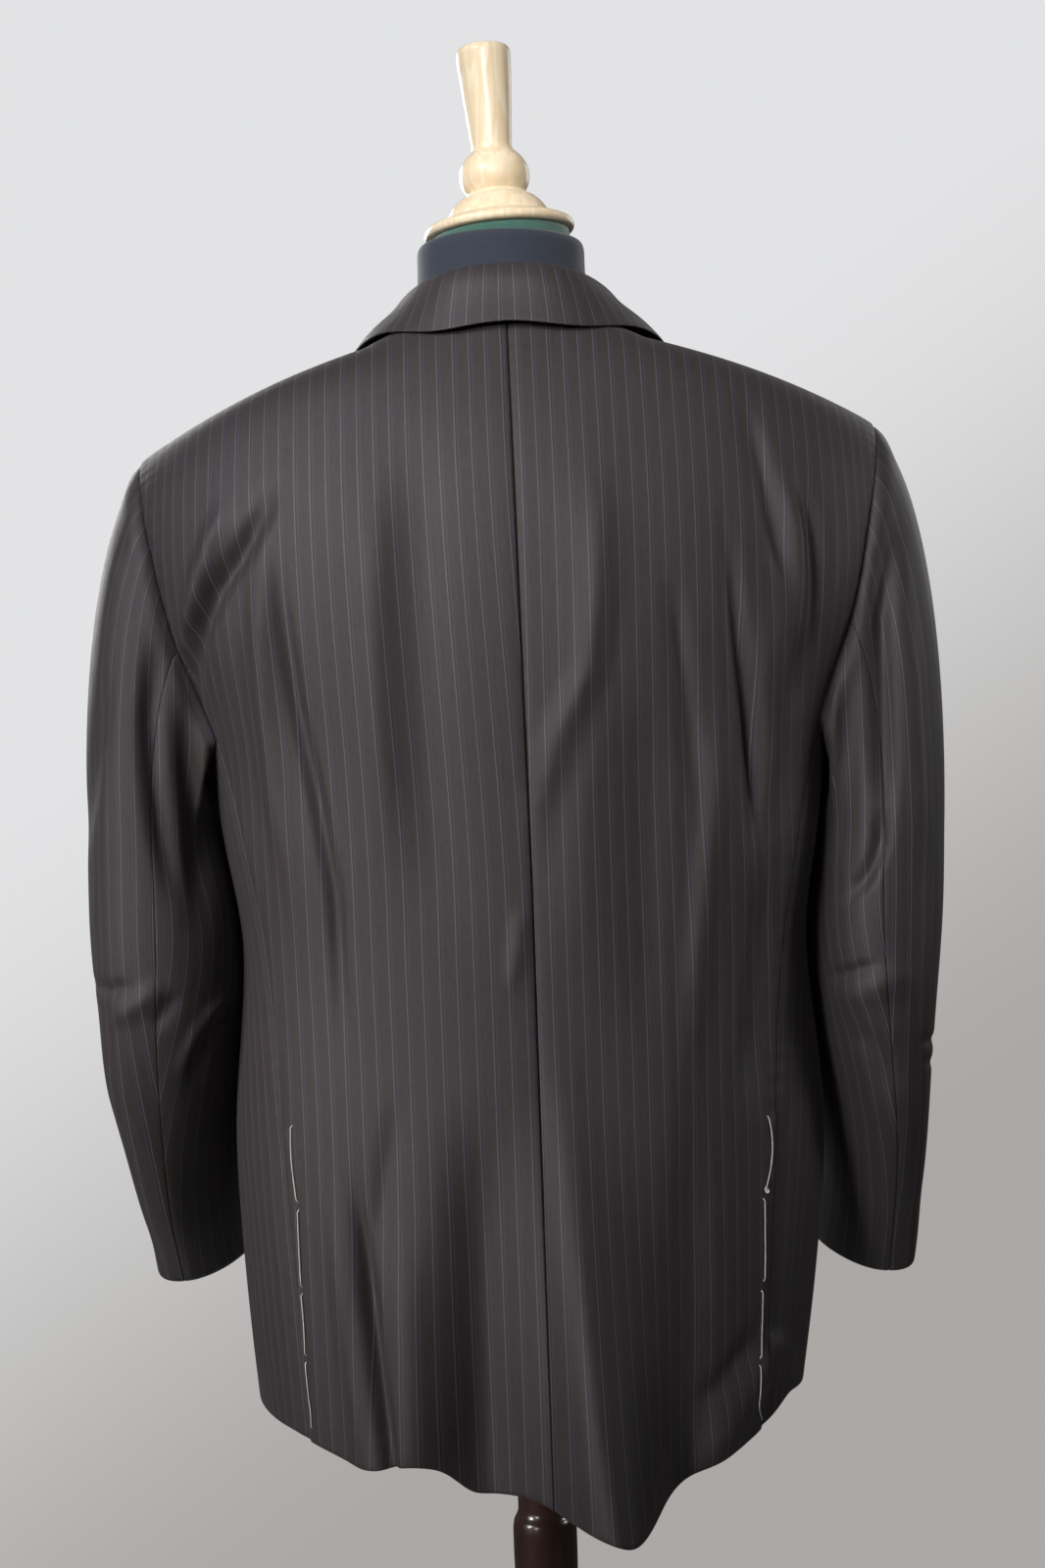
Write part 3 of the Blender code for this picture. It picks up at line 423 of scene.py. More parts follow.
# Creases, given in millimetres. Half width, height out of the cloth, then the
# points of the path as (x, z) from behind. A path that runs past an edge goes on over it.
backCreases = (
    (10.5, 3.4, (-61, 1330), (-55, 1204), (-43, 1158), (-23, 1125), (-12, 1085), (-8, 1030)),
    (10, -1, (-74, 1260), (-64, 1170), (-42, 1115), (-28, 1060)),
    (7, 2, (0, 1025), (4, 995), (11, 955)),
    (18, -2.3, (56, 1360), (62, 1202), (59, 1010)),
    (13, 3, (88, 1330), (94, 1200), (90, 1040)),
    (10.5, 5.2, (166, 1300), (172, 1180), (164, 1090), (154, 1000)),
    (6, -5.4, (160, 1290), (151, 1177), (141, 1114), (132, 1071), (126, 987), (124, 900)),
    (8.5, -9.2, (158, 1320), (171, 1285), (209, 1230), (223, 1190), (226, 1150)),
    (8.5, 5.8, (190, 1310), (208, 1267), (232, 1190)),
    (8.5, -6, (-162, 1375), (-172, 1320), (-188, 1215)),
    (8.5, -7.2, (-198, 1330), (-208, 1265), (-203, 1200), (-186, 1130)),
    (8, 4.8, (-188, 1320), (-199, 1240), (-196, 1150)),
    (7.5, -7.2, (-143, 1290), (-151, 1210), (-160, 1100), (-162, 1000)),
    (8, -3.6, (-106, 1250), (-114, 1160), (-118, 1080)),
    (11, 5.8, (-140, 1190), (-134, 1100), (-121, 1010), (-108, 880)),
    (10, -5.6, (-168, 1060), (-158, 960), (-150, 860)),
    (8, 4.4, (-176, 1240), (-172, 1160), (-170, 1060)),
    (15, -2.4, (-88, 1180), (-84, 1050), (-78, 900)),
    (5.8, -8.8, (121, 860), (112, 760), (90, 560)),
    (10, 3.6, (139, 850), (129, 760), (108, 560)),
    (9, -2.6, (88, 900), (98, 840), (112, 770)),
    (16, 4.4, (89, 825), (85, 700), (82, 580)),
    (24, -9.8, (33, 900), (37, 740), (41, 570)),
    (17, 4, (-20, 960), (-26, 780), (-30, 570)),
    (16, -5.2, (-107, 900), (-102, 740), (-98, 580)),
    (14, 5.8, (-96, 612), (-120, 650), (-150, 688), (-176, 716)),
    (9, -3.4, (-100, 672), (-126, 694), (-152, 728)),
    (6, 2.2, (-150, 718), (-166, 704), (-180, 676)),
)
frontCreases = (
    (13, 2.6, (20, 990), (90, 1035), (175, 1075)),
    (11, -2.2, (25, 1010), (85, 1070), (150, 1120)),
    (13, 2.6, (-20, 985), (-100, 1025), (-175, 1070)),
    (12, -2.2, (-30, 970), (-110, 985), (-180, 1000)),
    (20, 3.2, (75, 860), (85, 600)),
    (18, -3.4, (120, 850), (132, 600)),
    (20, 3, (-85, 860), (-100, 600)),
    (16, -3, (-45, 830), (-50, 600)),
    (9, -3, (190, 1290), (215, 1200)),
    (9, -3, (-192, 1300), (-214, 1210)),
)
sleeveCreases = {
    "left": (
        (8, -3, (282, 1200), (298, 1125), (313, 1050)),
        (8.5, -7.4, (249, 1225), (256, 1150), (252, 1090), (240, 1010)),
        (9.5, -6.6, (233, 1180), (230, 1090), (226, 990)),
        (5.5, -2.6, (312, 972), (294, 966), (272, 972)),
        (9, 3, (296, 944), (276, 952), (250, 974)),
        (6, -2.4, (262, 936), (252, 950), (244, 966)),
        (4.2, 2.6, (204, 966), (232, 937), (250, 895)),
        (5, -2.4, (206, 950), (228, 925), (241, 885)),
        (20, 7.2, (308, 960), (292, 890), (272, 810), (262, 735)),
    ),
    "right": (
        (10, -8.4, (-276, 1290), (-258, 1205), (-256, 1150), (-252, 1035)),
        (8, 3.4, (-278, 1230), (-280, 1120), (-280, 1010)),
        (6, -5, (-252, 1080), (-247, 1040), (-222, 1005)),
        (9, 4, (-227, 1205), (-225, 1130), (-224, 1080), (-218, 1010)),
        (4.5, -2.6, (-212, 954), (-230, 961), (-248, 968)),
        (13, 3.6, (-214, 938), (-240, 947), (-272, 966)),
        (9, -3, (-226, 926), (-246, 903), (-262, 868)),
        (20, 3.6, (-256, 900), (-262, 840), (-262, 770)),
        (4.5, -2, (-304, 908), (-290, 907), (-272, 911)),
        (4.5, -1.6, (-302, 889), (-290, 890), (-276, 894)),
    ),
}


def creaseShift(points, table):
    # each crease: its height times (1 - q^2 / 3) exp(-q^2), where q is the distance
    # over the half width, dying away over the last third of the path at both ends
    endShare, reach = 0.34, 3.2
    x, z = points[..., 0], points[..., 2]
    shift = np.zeros(x.shape)
    for halfWidth, height, *corners in table:
        halfWidth = halfWidth / 1000
        path = splineThrough(np.array([(px, 0.0, pz) for px, pz in corners]) / 1000, 7)[:, [0, 2]]
        low, high = path.min(axis=0) - reach * halfWidth, path.max(axis=0) + reach * halfWidth
        near = (x > low[0]) & (x < high[0]) & (z > low[1]) & (z < high[1])
        px, pz = x[near], z[near]
        best = np.full(px.shape, 9.0)
        place = np.zeros(px.shape)
        for k, (a, b) in enumerate(zip(path[:-1], path[1:])):
            way = b - a
            t = clamped(((px - a[0]) * way[0] + (pz - a[1]) * way[1]) / (way @ way))
            gap = np.hypot(px - a[0] - t * way[0], pz - a[1] - t * way[1])
            place = np.where(gap < best, (k + t) / (len(path) - 1), place)
            best = np.minimum(gap, best)
        q2 = (best / halfWidth) ** 2
        ends = smoothStep(place / endShare) * smoothStep((1.0 - place) / endShare)
        shift[near] += height / 1000 * (1.0 - q2 / 3.0) * np.exp(-q2) * ends
    return shift


unevenness = np.random.default_rng(7).uniform(0.0, 1.0, (4, 10))


def gentleWave(points, stretch, size):
    # slow unevenness of hanging cloth: ten sine waves of seeded directions, over
    # places stretched by stretch
    fullTurn = 6.28
    x, y, z = (points[..., k] * stretch[k] for k in range(3))
    total = 0.0
    for turn, lift, phase, pitch in unevenness.T:
        pace = 2.0 * math.pi / (size * (0.6 + 0.9 * pitch))
        flat = x * math.cos(turn * fullTurn) + y * math.sin(turn * fullTurn)
        total = total + np.sin(pace * (flat + z * (lift - 0.5) * 0.7) + phase * fullTurn)
    return total / 10.0


# Meshes

def gridObject(name, points, facing, uv=None, closed=False):
    # a quad mesh of a grid (rows, columns, 3), its faces turned like facing
    rows, columns = points.shape[:2]
    across = np.arange(columns if closed else columns - 1)
    r, c = np.meshgrid(np.arange(rows - 1) * columns, across, indexing="ij")
    d = (c + 1) % columns
    corners = np.stack([r + c, r + d, r + columns + d, r + columns + c], axis=-1).reshape(-1, 4)
    flat = points.reshape(-1, 3)
    normal = np.cross(flat[corners[:, 2]] - flat[corners[:, 0]],
                      flat[corners[:, 3]] - flat[corners[:, 1]])
    if np.sum(normal * facing.reshape(-1, 3)[corners[:, 0]]) < 0.0:
        corners = corners[:, ::-1]
    mesh = bpy.data.meshes.new(name)
    mesh.from_pydata(flat.tolist(), [], corners.tolist())
    if uv is not None:
        layer = mesh.uv_layers.new(name="clothUv")
        loopUv = uv.reshape(-1, 2)[corners.reshape(-1)]
        layer.data.foreach_set("uv", loopUv.astype(np.float32).ravel())
    mesh.shade_smooth()
    piece = bpy.data.objects.new(name, mesh)
    bpy.context.scene.collection.objects.link(piece)
    return piece


def turnedMesh(name, points, facing, uv=None):
    # a grid closed round, with the doubled points of its poles and seams merged
    piece = gridObject(name, points, facing, uv, closed=True)
    work = bmesh.new()
    work.from_mesh(piece.data)
    bmesh.ops.remove_doubles(work, verts=work.verts, dist=1e-6)
    bmesh.ops.dissolve_degenerate(work, edges=work.edges, dist=1e-7)
    bmesh.ops.recalc_face_normals(work, faces=work.faces)
    work.to_mesh(piece.data)
    work.free()
    return piece


def solidPiece(piece, node, look):
    piece.data.materials.append(materials[look])
    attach(piece, "root")
    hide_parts(node)


def sheetPiece(name, points, facing, uv, node, flat, thickness=None,
               sunk=0.0):
    # a cut piece of cloth: its outer face from a grid, sunk a little where another
    # piece lies on it, and its thickness laid inwards; the flat width and length it is given have
    # no effect
    piece = gridObject(name, points - facing * sunk, facing, uv)
    wall = piece.modifiers.new("Thickness", "SOLIDIFY")
    wall.thickness = thickness or jacketCut["clothThickness"]
    wall.offset = -1.0
    diagonals = points[1:, 1:] - points[:-1, :-1], points[1:, :-1] - points[:-1, 1:]
    area = float(np.linalg.norm(np.cross(*diagonals), axis=-1).sum() / 2)
    width, length = flat
    solidPiece(piece, node, "wool")
    min(area, width * length)


def tube(name, line, radius, look, sides=10):
    # round cord carried along a line, its radius constant and its ends drawn in
    way = unit(np.gradient(line, axis=0))
    steep = abs(way[:, 2]).mean() >= 0.8
    side = unit(np.cross(way, [1.0, 0.2, 0.1] if steep else [0.13, 0.07, 1.0]))
    turn = around(sides)
    ring = (side[:, None, :] * np.cos(turn)[None, :, None]
            + np.cross(way, side)[:, None, :] * np.sin(turn)[None, :, None])
    first = np.repeat(line[:1, None, :] - way[:1, None, :] * radius * 0.6, sides, axis=1)
    last = np.repeat(line[-1:, None, :] + way[-1:, None, :] * radius * 0.6, sides, axis=1)
    points = np.concatenate([first, line[:, None, :] + ring * radius, last])
    ring = np.concatenate([ring[:1], ring, ring[-1:]])
    length = lengthAlong(points[:, 0])
    uv = np.stack(np.broadcast_arrays(turn[None, :] / (2 * math.pi), length[:, None]), axis=-1)
    piece = turnedMesh(name, points, ring, uv)
    piece.data.materials.append(materials[look])
    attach(piece, "root")


# Seams and edges

# What a user would change about the seams and edges
seamCut = {
    "lip": 0.0010,             # the sharp drop beside a seam, and how far it reaches
    "lipReach": 0.0012,
    "slope": 0.0007,           # the soft slope beside it
    "slopeReach": 0.0050,
    "hemTurn": 0.0010,         # how far the cloth rounds in at a hem or cuff
    "hemTurnReach": 0.0009,
    "puckerHeight": 0.00022,   # ripples beside the long seams
    "puckerPitch": 0.017,
    "puckerReach": 0.010,
    "shoulderFrom": 0.28,      # share of a top row where the neck ends
}


def closeShares(width, count, near=False, far=False):
    # shares across a panel, close together along both edges and even between; an edge
    # that has a seam allowance runs on under its neighbour
    border = np.array((0.0, 0.0004, 0.0009, 0.0016, 0.0026, 0.0042, 0.0064)) / width
    allowance = np.array((-0.0060, -0.0040, -0.0022, -0.0010, -0.0004)) / width
    even = np.linspace(border[-1], 1.0 - border[-1], count)[1:-1]
    first = np.concatenate([allowance, border]) if near else border
    last = 1.0 - (np.concatenate([allowance, border]) if far else border)[::-1]
    return np.concatenate([first, even, last])


def seamValley(distance, share=1.0):
    # the cloth turns down into a seam: a sharp lip and a soft slope beside it
    distance = np.abs(distance)
    lip = -seamCut["lip"] * np.exp(-distance / seamCut["lipReach"])
    return share * (lip - seamCut["slope"] * bell(distance / seamCut["slopeReach"]))


def seamUnder(distance, share=1.0):
    # the same for the side whose allowance runs on under its neighbour: it dives by
    # the cloth's thickness over the last millimetre before the seam
    dive = jacketCut["clothThickness"] + 0.0005
    reached = smoothStep((0.0002 + 0.0011 * share - distance) / 0.0017)
    return seamValley(distance, share) - dive * reached


def hemTurn(distance):
    return -seamCut["hemTurn"] * np.exp(-distance / seamCut["hemTurnReach"])


def pastNeck(s):
    # 0 on the neck part of the top rows, 1 on the shoulder part
    return smoothStep((s - seamCut["shoulderFrom"]) / 0.05)


def puckers(level, drift):
    ripple = np.sin(level * 2.0 * math.pi / seamCut["puckerPitch"] + 2.0 * np.sin(level * drift))
    return seamCut["puckerHeight"] * ripple


def fade(distance):
    return np.exp(-distance / seamCut["puckerReach"])


# Body panels

# What a user would change about the body panels
panelCut = {
    "waveHeight": 0.0016,      # slow unevenness of the whole cloth
    "waveSize": 0.16,
    "centreShaping": {"left": 0.010, "right": 0.005},
    "seamGap": 0.0002,
    "centreGap": 0.0003,
    "ventLip": 0.0004,         # how far the back stands off over its vent
    "edgeStitch": 0.006,       # from the closing edge in to its row of stitching
    "seamDepth": 0.4,          # of the side seams, as a share of the centre seam's
    "back": (0.245, 0.800),    # flat width and length of each cut piece
    "side": (0.200, 0.520),
    "front": (0.260, 0.800),
    "ventUnderlap": (0.050, 0.250),
    "underlapThickness": 0.0010,
    "grid": {"back": (100, 290), "side": (56, 190), "front": (92, 270)},
}


def panelRows(top, count):
    border = np.array((0.0, 0.0005, 0.0011, 0.0020, 0.0036))
    foot = jacketCut["footHeight"]
    even = np.linspace(foot + border[-1], top - border[-1], count)[1:-1]
    return np.concatenate([foot + border, even, top - border[::-1]])


def panelPoints(kind, s, level, mirror, extra=0.0):
    # outer face of a panel at shares and levels: the hanging surface, moved out by
    # the wall, its creases, slow waves and what extra adds
    (grid, top), normals = masters[kind]
    points = mirrored(atLevel((grid, top), s, level), mirror)
    facing = mirrored(atLevel((normals, top), s, level), mirror)
    if kind != "side":
        # back and front share one normal along the shoulder seam
        facing[..., 1] *= 1.0 - smoothStep((level - top + 0.008) / 0.008) * pastNeck(s)
    facing = unit(facing)
    points = hang(points, facing)
    behind = smoothStep(facing[..., 1] * 1.6 + 0.15)
    before = smoothStep(-facing[..., 1] * 1.6 + 0.15)
    shift = creaseShift(points, backCreases) * behind + creaseShift(points, frontCreases) * before
    calm = smoothStep((1.40 - points[..., 2]) / 0.12) * 0.8 + 0.2
    wave = gentleWave(points, (1.0, 1.0, 0.35), panelCut["waveSize"])
    shift += panelCut["waveHeight"] * wave * calm
    return points + facing * (jacketCut["wall"] + (shift + extra))[..., None], facing


def threadsAt(kind, s, level):
    return atLevel((threads[kind][..., None], masters[kind][0][1]), s, level)[..., 0]


def threadUv(kind, s, level, mirror, shaping=0.0):
    # cloth coordinates in metres: across the threads, and along them
    u = threadsAt(kind, s, level) + shaping * smoothStep((1.33 - level) / 0.33)
    return np.stack([-u if mirror else u, level], axis=-1)


def bodyPanel(kind, side, nearGap, under):
    # one panel from edge to edge, with seam valleys, puckers and a turned hem; under
    # says which of its edges, near and far, run on under their neighbours
    back, mirror = kind == "back", side == "right"
    top, cut = masters[kind][0][1], panelCut[kind][0]
    columns, rows = panelCut["grid"][kind]
    s, level = np.meshgrid(closeShares(cut, columns, *under), panelRows(top, rows))
    width = np.ptp(threadsAt(kind, np.array([[0.0, 1.0]]), level[:, :1]), axis=1)[:, None]
    inside = clamped(s)
    s = np.where((s < 0.0) | (s > 1.0), inside + (s - inside) * cut / width, s)
    s = nearGap / width + s * (1.0 - (nearGap + panelCut["seamGap"]) / width)
    fromNear, fromFar = s * width, (1.0 - s) * width
    vent = smoothStep((jacketCut["ventTop"] - level) / 0.012)
    depth = panelCut["seamDepth"]
    near = (seamUnder if under[0] else seamValley)(fromNear, 1.0 if back else depth)
    far = (seamUnder if under[1] else seamValley)(fromFar, depth)
    shoulder = 0.0
    if back:
        far = far * (1.0 - vent) + vent * panelCut["ventLip"] * bell(fromFar / 0.012)
        far = far - vent * 0.0005 * np.exp(-fromFar / 0.0005)
        shoulder = seamValley(top - level) * pastNeck(s)
    else:
        dive = jacketCut["clothThickness"] + 0.0004
        near = near * (1.0 - vent) - vent * dive * bell(np.maximum(fromNear, 0.0) / 0.010)
    pucker = puckers(level, 41.0) * (fade(fromNear) + fade(fromFar))
    extra = near + far + pucker + hemTurn(level - jacketCut["footHeight"]) + shoulder
    points, facing = panelPoints(kind, s, level, mirror, extra)
    shaping = panelCut["centreShaping"][side] if back else 0.0
    sheetPiece(kind + side.title(), points, facing, threadUv(kind, s, level, mirror, shaping),
               kind + "_" + side, panelCut[kind])
    return points


def innerEdge(level):
    # share along the front's rows of its inner edge: straight down the overlap,
    # rounded at the foot, and along the roll line to the neck point above the break
    grid, top = frontSurface
    share = np.linspace(0.0, 1.0, grid.shape[1])
    sNeck = np.interp(jacketCut["neckPoint"][0], grid[-1, :, 0], share)
    sStraight = np.interp(-jacketCut["frontOverlap"], grid[0, :, 0], share)
    rise = clamped((level - jacketCut["breakHeight"]) / (top - jacketCut["breakHeight"]))
    radius = jacketCut["quarterRadius"]
    below = clamped((jacketCut["footHeight"] + radius - level) / radius)
    corner = 1.0 - np.sqrt(np.maximum(1.0 - below ** 2, 0.0))
    return sStraight + (sNeck - sStraight) * rise ** 0.95 + 0.40 * corner


def tucked(points, facing, under):
    # the overlap of the under front lies inside the other front
    if not under:
        return points
    cover = smoothStep((0.045 - np.abs(points[..., 0])) / 0.025)
    cover = np.where(points[..., 0] > 0.0, 1.0, cover)
    return points - facing * (jacketCut["foldUnder"] * cover)[..., None]


def frontPanel(side):
    # one front from the closing edge and roll line to the side seam
    mirror = side == "right"
    top = frontSurface[1]
    columns, rows = panelCut["grid"]["front"]
    levels = panelRows(top - 0.0004, rows)[:, None]
    shares = closeShares(0.225, columns)[None, :]
    inner = innerEdge(levels)
    ends = threadsAt("front", np.concatenate([inner, np.ones_like(inner)], axis=1), levels)
    width = np.maximum(np.diff(ends, axis=1), 0.01)
    s = inner + (1.0 - inner) * shares * (1.0 - panelCut["seamGap"] / width)
    level = np.repeat(levels, shares.shape[1], axis=1)
    fromEdge, fromSeam = shares * width, (1.0 - shares) * width
    # the edge rounds in, and a row of stitching is sunk beside it
    extra = seamValley(fromSeam) - 0.0007 * np.exp(-fromEdge / 0.0010)
    extra = extra - 0.0005 * bell((fromEdge - panelCut["edgeStitch"]) / 0.0012)
    extra = extra + puckers(level, 37.0) * fade(fromSeam)
    extra = extra + hemTurn(level - jacketCut["footHeight"])
    extra = extra + seamValley(top - level) * pastNeck(s)
    points, facing = panelPoints("front", s, level, mirror, extra)
    points = tucked(points, facing, mirror)
    sheetPiece("front" + side.title(), points, facing, threadUv("front", s, level, mirror),
               "front_" + side, panelCut["front"])
    return points, facing


# What a user would change about the lapels
lapelCut = {
    "gorge": 1.362,            # level of the upper edge at the roll line
    "point": 1.308,            # level of the outer corner
    "share": 0.250,            # width as a share of the front's rows
    "rowLength": 0.36,         # length of such a row, in metres
    "lift": 0.0010,            # from the front up to the lapel
    "belly": 0.004,            # how far the roll stands off
    "rollRadius": 0.0019,
    "thickness": 0.0010,
    "start": {"left": 0.012, "right": 0.090},   # above the break
    "flat": (0.110, 0.420),
}


def lapel(side):
    # the turned front edge: round the front's edge in half a circle, then across it
    # from the break to the gorge
    mirror = side == "right"
    rowLength = lapelCut["rowLength"]
    turn = np.linspace(0.0, 1.0, 9)[:-1]
    reach = np.concatenate([np.zeros(8), np.linspace(0.0, 1.0, 34)])[None, :]
    onRoll = np.concatenate([turn, np.ones(34)])[None, :]
    rise = np.linspace(0.0, 1.0, 90)[:, None]
    start = jacketCut["breakHeight"] + lapelCut["start"][side]
    innerLevel = start + (lapelCut["gorge"] - start) * rise
    outerLevel = start + (lapelCut["point"] - start) * rise
    width = lapelCut["share"] * np.sin(rise * math.pi / 2) ** 0.85 + 0.012
    curl = lapelCut["rollRadius"] / rowLength * np.sin(onRoll * math.pi)
    s = innerEdge(innerLevel) + 0.002 + (0.006 + width) * reach - curl
    level = innerLevel + (outerLevel - innerLevel) * reach
    belly = lapelCut["belly"] * np.sin(math.pi * np.minimum(reach * 1.6, 1.0))
    full = jacketCut["wall"] + lapelCut["lift"] + belly * clamped(rise * 3.0)
    half = smoothStep(onRoll)
    lift = full * half + 0.0004 * (1.0 - half)
    lift = lift - 0.0005 * np.exp(-(1.0 - reach) * width * rowLength / 0.0008)
    points, facing = panelPoints("front", s, level, mirror)
    points = tucked(points, facing, mirror) + facing * (lift - 0.0002)[..., None]
    u = -(1.0 - reach) * width * rowLength
    uv = np.stack([-u if mirror else u, level * np.ones_like(u)], axis=-1)
    sheetPiece("lapel" + side.title(), points, facing, uv, "lapel_" + side, lapelCut["flat"],
               lapelCut["thickness"])


def ventUnderlap(side):
    # the side's edge carried on behind the back, with its own cut edge
    mirror = side == "right"
    s, level = np.meshgrid(np.linspace(0.800, 0.962, 26),
                           np.linspace(0.630, jacketCut["ventTop"], 90))
    points, facing = panelPoints("back", s, level, mirror, -0.0018)
    sheetPiece("ventUnder" + side.title(), points, facing,
               threadUv("back", s, level, mirror), "vent_under_" + side,
               panelCut["ventUnderlap"], thickness=panelCut["underlapThickness"],
               sunk=0.0002)


# Sleeves

# What a user would change about the sleeves. Rings below the head: outer edge of the
# left arm, of the right arm, inner edge, y of the centre, height, half depth,
# turn in degrees, drop of the hind side
sleeveCut = {
    "rings": (
        (0.3120, 0.3040, 0.2170, 0.000, 1.060, 0.0720, 0.0, 0.000),
        (0.3110, 0.2990, 0.2070, 0.004, 1.000, 0.0700, 4.0, 0.002),
        (0.3050, 0.2920, 0.2088, 0.000, 0.940, 0.0680, 8.0, 0.006),
        (0.2920, 0.2880, 0.2150, -0.030, 0.865, 0.0640, 14.0, 0.012),
        (0.2860, 0.2860, 0.2150, -0.070, 0.798, 0.0620, 18.0, 0.014),
        (0.2850, 0.2860, 0.2120, -0.104, 0.752, 0.0610, 20.0, 0.016),
    ),
    "gap": 0.0012,             # between the armhole's edge and the sleeve's
    "rightShorter": 0.010,
    "headFullness": 0.0016,    # how far the eased head stands over its seam
    "headPlace": 0.013,        # of the fullness, from the armhole down
    "allowanceDepth": 0.0042,  # of the head's seam allowance, behind the body cloth
    "seamDepth": 0.22,         # of the sleeve seams, as a share of the centre seam's
    "waveHeight": 0.0011,
    "girth": 0.42,             # round the sleeve, about
    "squareness": 0.92,
    "parts": {"Top": (118, 0.235), "Under": (62, 0.140)},   # columns, width
    "length": 0.665,
    "headRows": 70,
    "armRows": 170,
}


def ringShares(ring):
    # share of a closed ring's length at each of its points
    step = np.linalg.norm(np.roll(ring, -1, axis=0) - ring, axis=1)
    return np.concatenate([[0.0], np.cumsum(step)[:-1]]) / step.sum()


def roundRing(ring, share, wanted):
    # points of a closed ring at shares of its length, past one turn too
    closed = np.concatenate([ring, ring[:1]])
    length = np.concatenate([share, [1.0]])
    wanted = np.mod(wanted, 1.0)
    return np.stack([np.interp(wanted, length, closed[:, k]) for k in range(3)], axis=1)


def armholeRing():
    # closed armhole of the left side, shoulder tip, back, underarm, front: its points,
    # the body cloth's normal there, the way back into the panel, the shares of its
    # length, and the shares where the hind and the fore sleeve seam start
    count, underCount = 90, 50
    ones, scye = np.ones(count), jacketCut["scyeHeight"]
    legs = (("back", ones, np.linspace(backSurface[1], scye, count)),
            ("side", np.linspace(0.0, 1.0, underCount), np.full(underCount, scye)),
            ("front", ones, np.linspace(scye, frontSurface[1], count)))
    places, facings = [], []
    for kind, s, level in legs:
        (grid, top), normals = masters[kind]
        places.append(atLevel((grid, top), s, level))
        facings.append(atLevel((normals, top), s, level))
    ring, normal = (np.concatenate([down, under[1:-1], up[:-1]])
                    for down, under, up in (places, facings))
    share = ringShares(ring)
    hindAt, foreAt = 7 / 9 * (count - 1), count + underCount - 2 + 2 / 9 * (count - 1)
    hind, fore = (np.interp(at, np.arange(len(ring)), share) for at in (hindAt, foreAt))
    along = np.roll(ring, -1, axis=0) - np.roll(ring, 1, axis=0)
    inward = unit(np.cross(normal, along))
    toMiddle = ring.mean(axis=0) - np.array([0.10, 0.0, 0.0]) - ring
    inward *= np.sign(np.sign(np.sum(inward * toMiddle, axis=1)).mean())
    return ring, normal, inward, share, hind, fore


def sleeveRing(row, arm, wanted):
    # one ring of the sleeve, a squared ellipse turned about its middle, taken at
    # shares of its length from its outermost point backwards
    outerLeft, outerRight, inner, y, height, deep, turn, drop = row
    outer = outerLeft if arm == "left" else outerRight
    c, s = math.cos(math.radians(turn)), math.sin(math.radians(turn))
    across = math.sqrt(((outer - inner) / 2) ** 2 - (deep * s) ** 2) / c
    rings = sleeveCut["rings"]
    low = (rings[0][4] - height) / (rings[0][4] - rings[-1][4])
    height -= sleeveCut["rightShorter"] * low * (arm == "right")
    angle = around(960)
    flatX = across * signedPower(np.cos(angle), sleeveCut["squareness"])
    flatY = deep * signedPower(np.sin(angle), sleeveCut["squareness"])
    ring = np.stack([(outer + inner) / 2 + flatX * c + flatY * s,
                     y - flatX * s + flatY * c, height - drop * flatY / deep], axis=1)
    return roundRing(ring, ringShares(ring), wanted)


